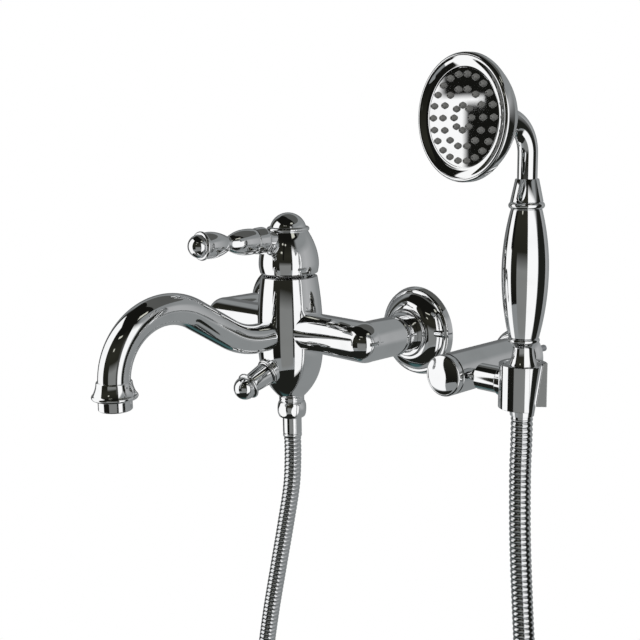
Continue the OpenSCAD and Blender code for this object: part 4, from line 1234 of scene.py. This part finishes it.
@dataclass
class HandShower(SubAssembly):
    """Hand shower with cone nut, turned grip, bent neck and round head."""

    body: Body = Body.HANDSET
    shank_r: float = 6.8
    foot_r: float = 8.2
    waist_r: float = 6.0
    waist_z: float = 9.4
    grip_r: float = 13.2
    grip_end_r: float = 8.7
    grip_h: float = 73.0
    grip_z: float = 15.6
    grip_mid: float = 0.52
    bead_h: float = 4.2
    collar_h: float = 12.6
    tube_r: float = 5.6
    tube_sides: int = 64
    bend_r: float = 20.0
    neck_in: float = 22.0
    head_z: float = 139.2
    head_out: float = 52.0
    yaw: float = 7.0
    head_r: float = 33.5
    face_r: float = 25.8
    plate_h: float = 1.6
    nozzle_r: float = 1.75
    nozzle_h: float = 2.1
    nozzle_sides: int = 14
    nozzles: tuple[tuple[float, int], ...] = ((22.4, 22), (14.9, 14), (6.4, 8))

    @property
    def grip_low(self) -> float:
        """Height of the grip's lower end."""
        return CLIP_TOP + self.grip_z

    @property
    def grip_top(self) -> float:
        """Height of the grip's upper end."""
        return self.grip_low + self.grip_h

    def build(self) -> None:
        """Builds the hand shower from its nut to its head."""
        self.build_lower()
        self.build_grip()
        self.build_neck()
        self.build_head()

    def build_lower(self) -> None:
        """Builds cone nut, upper ferrule and shank."""
        top, low, wall, tip = CLIP_TOP - 0.6, CLIP_LOW - 5, HOSE_R - 0.3, HOSE_TOP + 0.05
        nut = [
            (self.shank_r + 0.2, top - 1), (THREAD_R + 0.2, top), (CONE_R - 0.6, top),
            (CONE_R - 0.1, top - 0.5), (CONE_SMALL_R, CLIP_LOW), (CONE_SMALL_R - 0.7, low),
            (HOSE_R - 0.1, low),
        ]
        self.turn("cone_nut", nut, HANDLE, 0.15)
        self.turn("upper_ferrule", [(0, top - 12), (wall, top - 12), (wall, tip), (0, tip)], HANDLE, 0.2)
        grip, end, waist = self.grip_low, self.grip_end_r, CLIP_TOP + self.waist_z
        shank = [
            (0, top - 8), (THREAD_R, top - 8), (THREAD_R, top - 1), (self.shank_r, top - 1),
            *reversed(swell(self.waist_r, waist, self.foot_r, top, 2, 12)),
            *swell(self.waist_r, waist, end - 0.9, grip - 3.6, 2, 10)[1:],
            *arc(end - 1.1, grip - 1.8, 1.5, -70, 70),
            (end - 1.6, grip), (0, grip),
        ]
        self.turn("handset_shank", shank, HANDLE)

    def build_grip(self) -> None:
        """Builds the grip barrel and the bead above it."""
        low, top, end = self.grip_low, self.grip_top, self.grip_end_r
        mid, high = low + self.grip_h * self.grip_mid, top + self.bead_h
        barrel = [
            (0, low),
            *reversed(swell(self.grip_r, mid, end, low, 2, 32)),
            *swell(self.grip_r, mid, end, top, 2, 32)[1:],
            (0, top),
        ]
        self.turn("handset_grip", barrel, HANDLE, 0.3)
        curl = arc(end - 0.6, top + self.bead_h / 2, 2, -70, 70)
        self.turn("handset_bead", [(0, top), (end - 0.4, top), *curl, (end - 0.2, high), (0, high)], HANDLE)

    def build_neck(self) -> None:
        """Builds the cone collar and the bent tube."""
        r, base, bend_z = self.tube_r, self.grip_top + self.bead_h, CLIP_TOP + self.head_z - self.bend_r
        top, foot = base + self.collar_h, base + 8
        route = [
            *((0.0, foot + (bend_z - foot) * i / 6) for i in range(6)),
            *arc(-self.bend_r, bend_z, self.bend_r, 0, 90, 32),
            (self.neck_in - self.head_out, bend_z + self.bend_r),
        ]
        collar = [(0, base), (self.grip_end_r + 0.5, base), (r + 1, top - 0.2), (r + 0.8, top), (0, top)]
        blank = Blank().turned(collar, HANDLE)
        blank.tube(route, r, self.tube_sides, HANDLE @ turn_z(-self.yaw))
        self.chrome(blank, "handset_neck")

    def build_head(self) -> None:
        """Builds dome, bezel, spray plate and nozzles."""
        head = place(HAND_X, -HAND_OUT, CLIP_TOP + self.head_z) @ turn_z(-self.yaw) @ FACING
        r, out, face, socket = self.head_r, self.head_out, self.face_r, self.tube_r + 0.02
        back, rim, plate, mat = out - 25, out - 5.8, out - 3.4, out - 5.0
        shell = [
            (socket - 0.5, back - 1.4), (socket + 0.7, back - 1.4), (socket + 1.1, back - 1.0),
            *dish(socket + 2, back, r - 0.6, rim, 2.2, 36),
            (r - 0.6, rim + 0.9), (r - 2.4, rim + 0.9), (socket - 0.5, back + 3),
        ]
        self.turn("head_shell", shell, head)
        inner = r - 2.4
        slope = [
            (inner - (inner - face) * t, out - 0.1 - 1.7 * math.sin(math.pi / 2 * t)) for t in shares(20)
        ]
        bezel = [
            (inner, rim + 0.9), (r - 0.2, rim + 0.9), (r, rim + 1.4),
            *arc(r - 1.6, out - 1.6, 1.6, 0, 100),
            *slope[1:],
            (face, plate), (face - 2, plate), (face - 2, mat), (inner - 2, mat), (inner - 2, rim + 1.6),
            (inner, rim + 1.6),
        ]
        self.turn("head_bezel", bezel, head)
        edge, top = face - 0.15, plate + self.plate_h
        disc = [(0, plate), (edge, plate), (edge, top - 0.2), (edge - 0.2, top), (0, top)]
        self.turn("spray_plate", disc, head)
        wide, high = face - 2.2, plate - 0.05
        soft = Blank().turned([(0, mat), (wide, mat), (wide, high), (0, high)], head)
        n, tip = self.nozzle_r, top + self.nozzle_h
        bud = [
            (n + 0.15, top - 0.05), (n + 0.05, top + 0.2), (n - 0.2, top + 0.9), (n - 0.5, tip - 0.5),
            (n - 0.75, tip - 0.15), (n - 0.95, tip), (n - 1.2, tip), (n - 1.25, tip - 0.8), (0, tip - 0.8),
        ]
        for ring, count in self.nozzles:
            for i in range(count):
                soft.turned(bud, head @ turn_z(360 * i / count) @ place(ring, 0, 0), self.nozzle_sides)
        self.dress.fit(soft.piece("nozzle_mat_soft"), self.body, Finish.SILICONE, "nozzle_mat")


# Studio

AZIMUTH = 46.65
CENTRE = (0.05, -0.06, 0.0)

WHITE = (1.0, 1.0, 1.0)
GLOW = (0.62, 0.62, 0.54)
PALE = (0.430, 0.435, 0.440)
GREY = (0.250, 0.262, 0.265)
SHADE = (0.135, 0.140, 0.142)
DUSK = (0.090, 0.092, 0.088)
TABLE = (0.208, 0.213, 0.208)
TEAL = (0.045, 0.105, 0.108)
OLIVE = (0.024, 0.024, 0.018)
DIM = (0.013, 0.014, 0.012)
BLACK = (0.007, 0.007, 0.006)


@dataclass(frozen=True)
class Card:
    """A studio card seen only in reflections: a line from near to far, swept round the object.

    Angles are degrees right of the camera as seen from the object. near and far are
    distance and height in metres, and the shade runs from one to the other. soft is the
    share of its width and of its height over which each edge fades out.
    """

    name: str
    left: float
    right: float
    near: Pair
    far: Pair
    shade: Triple
    soft: Pair = (0.0, 0.0)
    end_shade: Triple | None = None
    columns: int = 48

    def spot(self, across: float, along: float) -> Vector:
        """Point of the card.

        Args:
            across: Share of its sweep.
            along: Share of its line.

        Returns:
            The point.
        """
        angle = math.radians(AZIMUTH - 90 + self.left + (self.right - self.left) * across)
        reach, height = Vector(self.near).lerp(Vector(self.far), along)
        return Vector(CENTRE) + Vector((reach * math.cos(angle), reach * math.sin(angle), height))


@dataclass(frozen=True)
class Panel:
    """A flat upright card between two plan points, seen only in reflections; metres."""

    name: str
    start: Pair
    end: Pair
    low: float
    high: float
    shade: Triple
    soft: Pair
    end_shade: Triple | None = None
    columns: int = 1

    def spot(self, across: float, along: float) -> Vector:
        """Point of the panel at a share of its width and of its height."""
        plan = Vector(self.start).lerp(Vector(self.end), across)
        return Vector((*plan, self.low + (self.high - self.low) * along))


@dataclass(frozen=True)
class Lamp:
    """A soft square lamp; metres and watts."""

    name: str
    where: Triple
    size: float
    power: float


@dataclass
class Studio:
    """Camera, light, floor and reflection cards."""

    elevation: float = 10.94
    roll: float = -0.91
    focal_px: float = 1028.97
    frame_px: float = 640.0
    sensor: float = 36.0
    spot: Triple = (549.43, -544.69, 147.46)
    floor_z: float = -600.0
    floor_size: float = 6.0
    floor_paint: float = 0.86
    soft_light: float = 0.55
    aim: Triple = (0.08, -0.06, 0.0)
    lamps: tuple[Lamp, ...] = (
        Lamp("key_lamp", (1.2, -1.4, 1.3), 1.2, 26.0),
        Lamp("fill_lamp", (-1.4, -1.0, 0.9), 1.4, 14.0),
        Lamp("back_lamp", (0.4, 1.3, 1.2), 1.2, 9.0),
    )
    cards: tuple[Card | Panel, ...] = (
        Card("room_wall", 0, 360, (1.7, -0.59), (1.7, 1.7), GREY),
        Card("room_floor", 0, 360, (0.0, -0.59), (1.7, -0.59), GREY),
        Card("room_ceiling", 0, 360, (0.0, 1.7), (1.7, 1.7), DUSK),
        Card("front_dark", -142, 42, (1.6, -0.58), (1.6, 0.60), BLACK, (0.06, 0.0), OLIVE),
        Card("front_high", -142, 42, (1.6, 0.60), (1.6, 1.66), OLIVE, (0.06, 0.0), BLACK),
        Card("front_ceiling", -150, 60, (0.0, 1.64), (1.6, 1.64), BLACK),
        Card("front_floor", -165, 48, (0.0, -0.57), (0.80, -0.57), DIM, (0.05, 0.0)),
        Card("floor_teal", -176, -118, (0.10, -0.56), (0.44, -0.56), TEAL, (0.3, 0.3)),
        Card("right_pale", 12, 132, (1.55, -0.55), (1.55, 0.95), PALE, (0.5, 0.25)),
        Card("back_dusk", 150, 222, (1.6, -0.55), (1.6, 0.95), SHADE, (0.2, 0.12)),
        Card("lamp_left", -34, -12, (0.98, 0.79), (0.98, 0.89), GLOW, (0.08, 0.15)),
        Card("lamp_low", -34, -26, (1.16, 0.52), (1.16, 0.62), GLOW, (0.15, 0.15)),
        Card("lamp_right", 22, 46, (0.84, 1.00), (0.66, 1.12), GLOW, (0.08, 0.15)),
        Panel("left_white", (-0.112, -0.482), (-0.430, -0.269), -0.33, 0.48, WHITE, (0.02, 0.03)),
        Panel("right_white", (0.446, -0.297), (1.200, 0.090), -0.62, 0.46, WHITE, (0.01, 0.15)),
        Panel("table", (0.132, -0.673), (0.620, -0.450), -0.43, 0.10, TABLE, (0.04, 0.18)),
        Panel("hand_dark", (0.745, 0.039), (0.244, -0.0275), -0.45, 0.21, DIM, (0.0, 0.12)),
        Panel("head_side", (0.1180, -0.2535), (0.0850, -0.2221), 0.08, 0.24, BLACK, (0.0, 0.05)),
        Panel("head_low", (0.1050, -0.2412), (0.0746, -0.2120), 0.08, 0.160, BLACK, (0.10, 0.06)),
        Panel("head_top", (0.1050, -0.2412), (0.0622, -0.2001), 0.1605, 0.24, BLACK, (0.10, 0.05)),
    )

    def build(self) -> None:
        """Builds the whole studio."""
        self.set_camera()
        self.lay_floor()
        for lamp in self.lamps:
            self.hang_lamp(lamp)
        self.light_world()
        for card in self.cards:
            self.hang_card(card)
        bpy.context.scene.view_settings.view_transform = "Standard"

    def set_camera(self) -> None:
        """Sets the camera at the photograph's place."""
        a, e, ro = (math.radians(v) for v in (AZIMUTH, self.elevation, self.roll))
        right = Vector((math.cos(a), math.sin(a), 0))
        back = Vector((math.sin(a) * math.cos(e), -math.cos(a) * math.cos(e), math.sin(e)))
        up = Vector((-math.sin(a) * math.sin(e), math.cos(a) * math.sin(e), math.cos(e)))
        rolled = (right * math.cos(ro) + up * math.sin(ro), up * math.cos(ro) - right * math.sin(ro), back)
        data = bpy.data.cameras.new("camera")
        data.sensor_width = self.sensor
        data.lens = self.sensor * self.focal_px / self.frame_px
        data.clip_start = 0.01
        data.clip_end = 50.0
        camera = new_object("camera", data)
        camera.matrix_world = place(*self.spot) @ Matrix(rolled).transposed().to_4x4()
        bpy.context.scene.camera = camera

    def lay_floor(self) -> None:
        """Lays a white floor that stays white to camera and mirrors."""
        bm = bmesh.new()
        bmesh.ops.create_grid(bm, x_segments=1, y_segments=1, size=self.floor_size)
        bmesh.ops.translate(bm, verts=bm.verts, vec=(0, 0, self.floor_z * MM))
        floor = new_object("floor", new_mesh("floor", bm))
        mat, graph = new_material("floor_white")
        paint = graph.node("ShaderNodeBsdfDiffuse", {"Color": (*[self.floor_paint] * 3, 1.0)})
        glow = graph.node("ShaderNodeEmission", {"Color": (*WHITE, 1.0), "Strength": 1.0})
        graph.surface(graph.node("ShaderNodeMixShader", {0: graph.seen(), 1: paint, 2: glow}))
        floor.data.materials.append(mat)

    def hang_lamp(self, lamp: Lamp) -> None:
        """Hangs a lamp that lights the matt pieces and stays out of reflections.

        Args:
            lamp: Lamp to hang.
        """
        data = bpy.data.lights.new(lamp.name, "AREA")
        data.energy = lamp.power
        data.size = lamp.size
        obj = new_object(lamp.name, data)
        turn = (Vector(self.aim) - Vector(lamp.where)).to_track_quat("-Z", "Y")
        obj.matrix_world = Matrix.Translation(lamp.where) @ turn.to_matrix().to_4x4()
        obj.visible_glossy = False

    def light_world(self) -> None:
        """Makes the surroundings white for the camera and in mirrors, and soft elsewhere."""
        world = bpy.data.worlds.new("studio")
        bpy.context.scene.world = world
        world.use_nodes = True
        graph = Graph(world.node_tree)
        strength = graph.seen() * (1 - self.soft_light) + self.soft_light
        glow = graph.node("ShaderNodeBackground", {"Color": (*WHITE, 1.0), "Strength": strength})
        graph.node("ShaderNodeOutputWorld", {"Surface": glow})

    def hang_card(self, card: Card | Panel) -> None:
        """Hangs one card, seen only in reflections.

        Args:
            card: Card to hang.
        """
        bm = bmesh.new()
        bm.loops.layers.uv.new("shares")
        grid = bmesh.ops.create_grid(bm, x_segments=card.columns, y_segments=1, size=0.5, calc_uvs=True)
        for vert in grid["verts"]:
            vert.co = card.spot(vert.co.x + 0.5, vert.co.y + 0.5)
        obj = new_object(card.name, new_mesh(card.name, bm))
        obj.data.materials.append(self.card_material(card))
        obj.visible_camera = False
        obj.visible_diffuse = False
        obj.visible_shadow = False

    def card_material(self, card: Card | Panel) -> bpy.types.Material:
        """Material of a card: a shade that runs up it, and edges that fade out.

        Args:
            card: Card that gets it.

        Returns:
            The material.
        """
        mat, graph = new_material(card.name)
        uv = graph.node("ShaderNodeTexCoord", {}, "UV")
        across, along = (graph.node("ShaderNodeSeparateXYZ", {0: uv}, axis) for axis in "XY")
        colour = graph.mix(along, card.shade, card.end_shade or card.shade)
        shown = graph.node("ShaderNodeEmission", {"Color": colour, "Strength": 1.0})
        for share, soft in zip((across, along), card.soft):
            if soft:
                inside = share.lowest(1 - share) * (1 / soft)
                clear = graph.node("ShaderNodeBsdfTransparent", {})
                shown = graph.node("ShaderNodeMixShader", {0: inside, 1: clear, 2: shown})
        graph.surface(shown)
        return mat


def main() -> None:
    """Builds the studio and every piece of the mixer."""
    logging.basicConfig(level=logging.INFO, format="%(name)s: %(message)s")
    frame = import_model()
    Studio().build()
    dress = Dresser()
    for kind in (Hose, WallInlets, MixerBody, Lever, Spout, Diverter, Holder, HandShower):
        log.info("building %s", kind.__name__)
        kind(dress).build()
    dress.solids(frame)
    Diverter(dress).press_spring(frame["nodes"]["diverter_spring"])


if __name__ == "__main__":
    main()
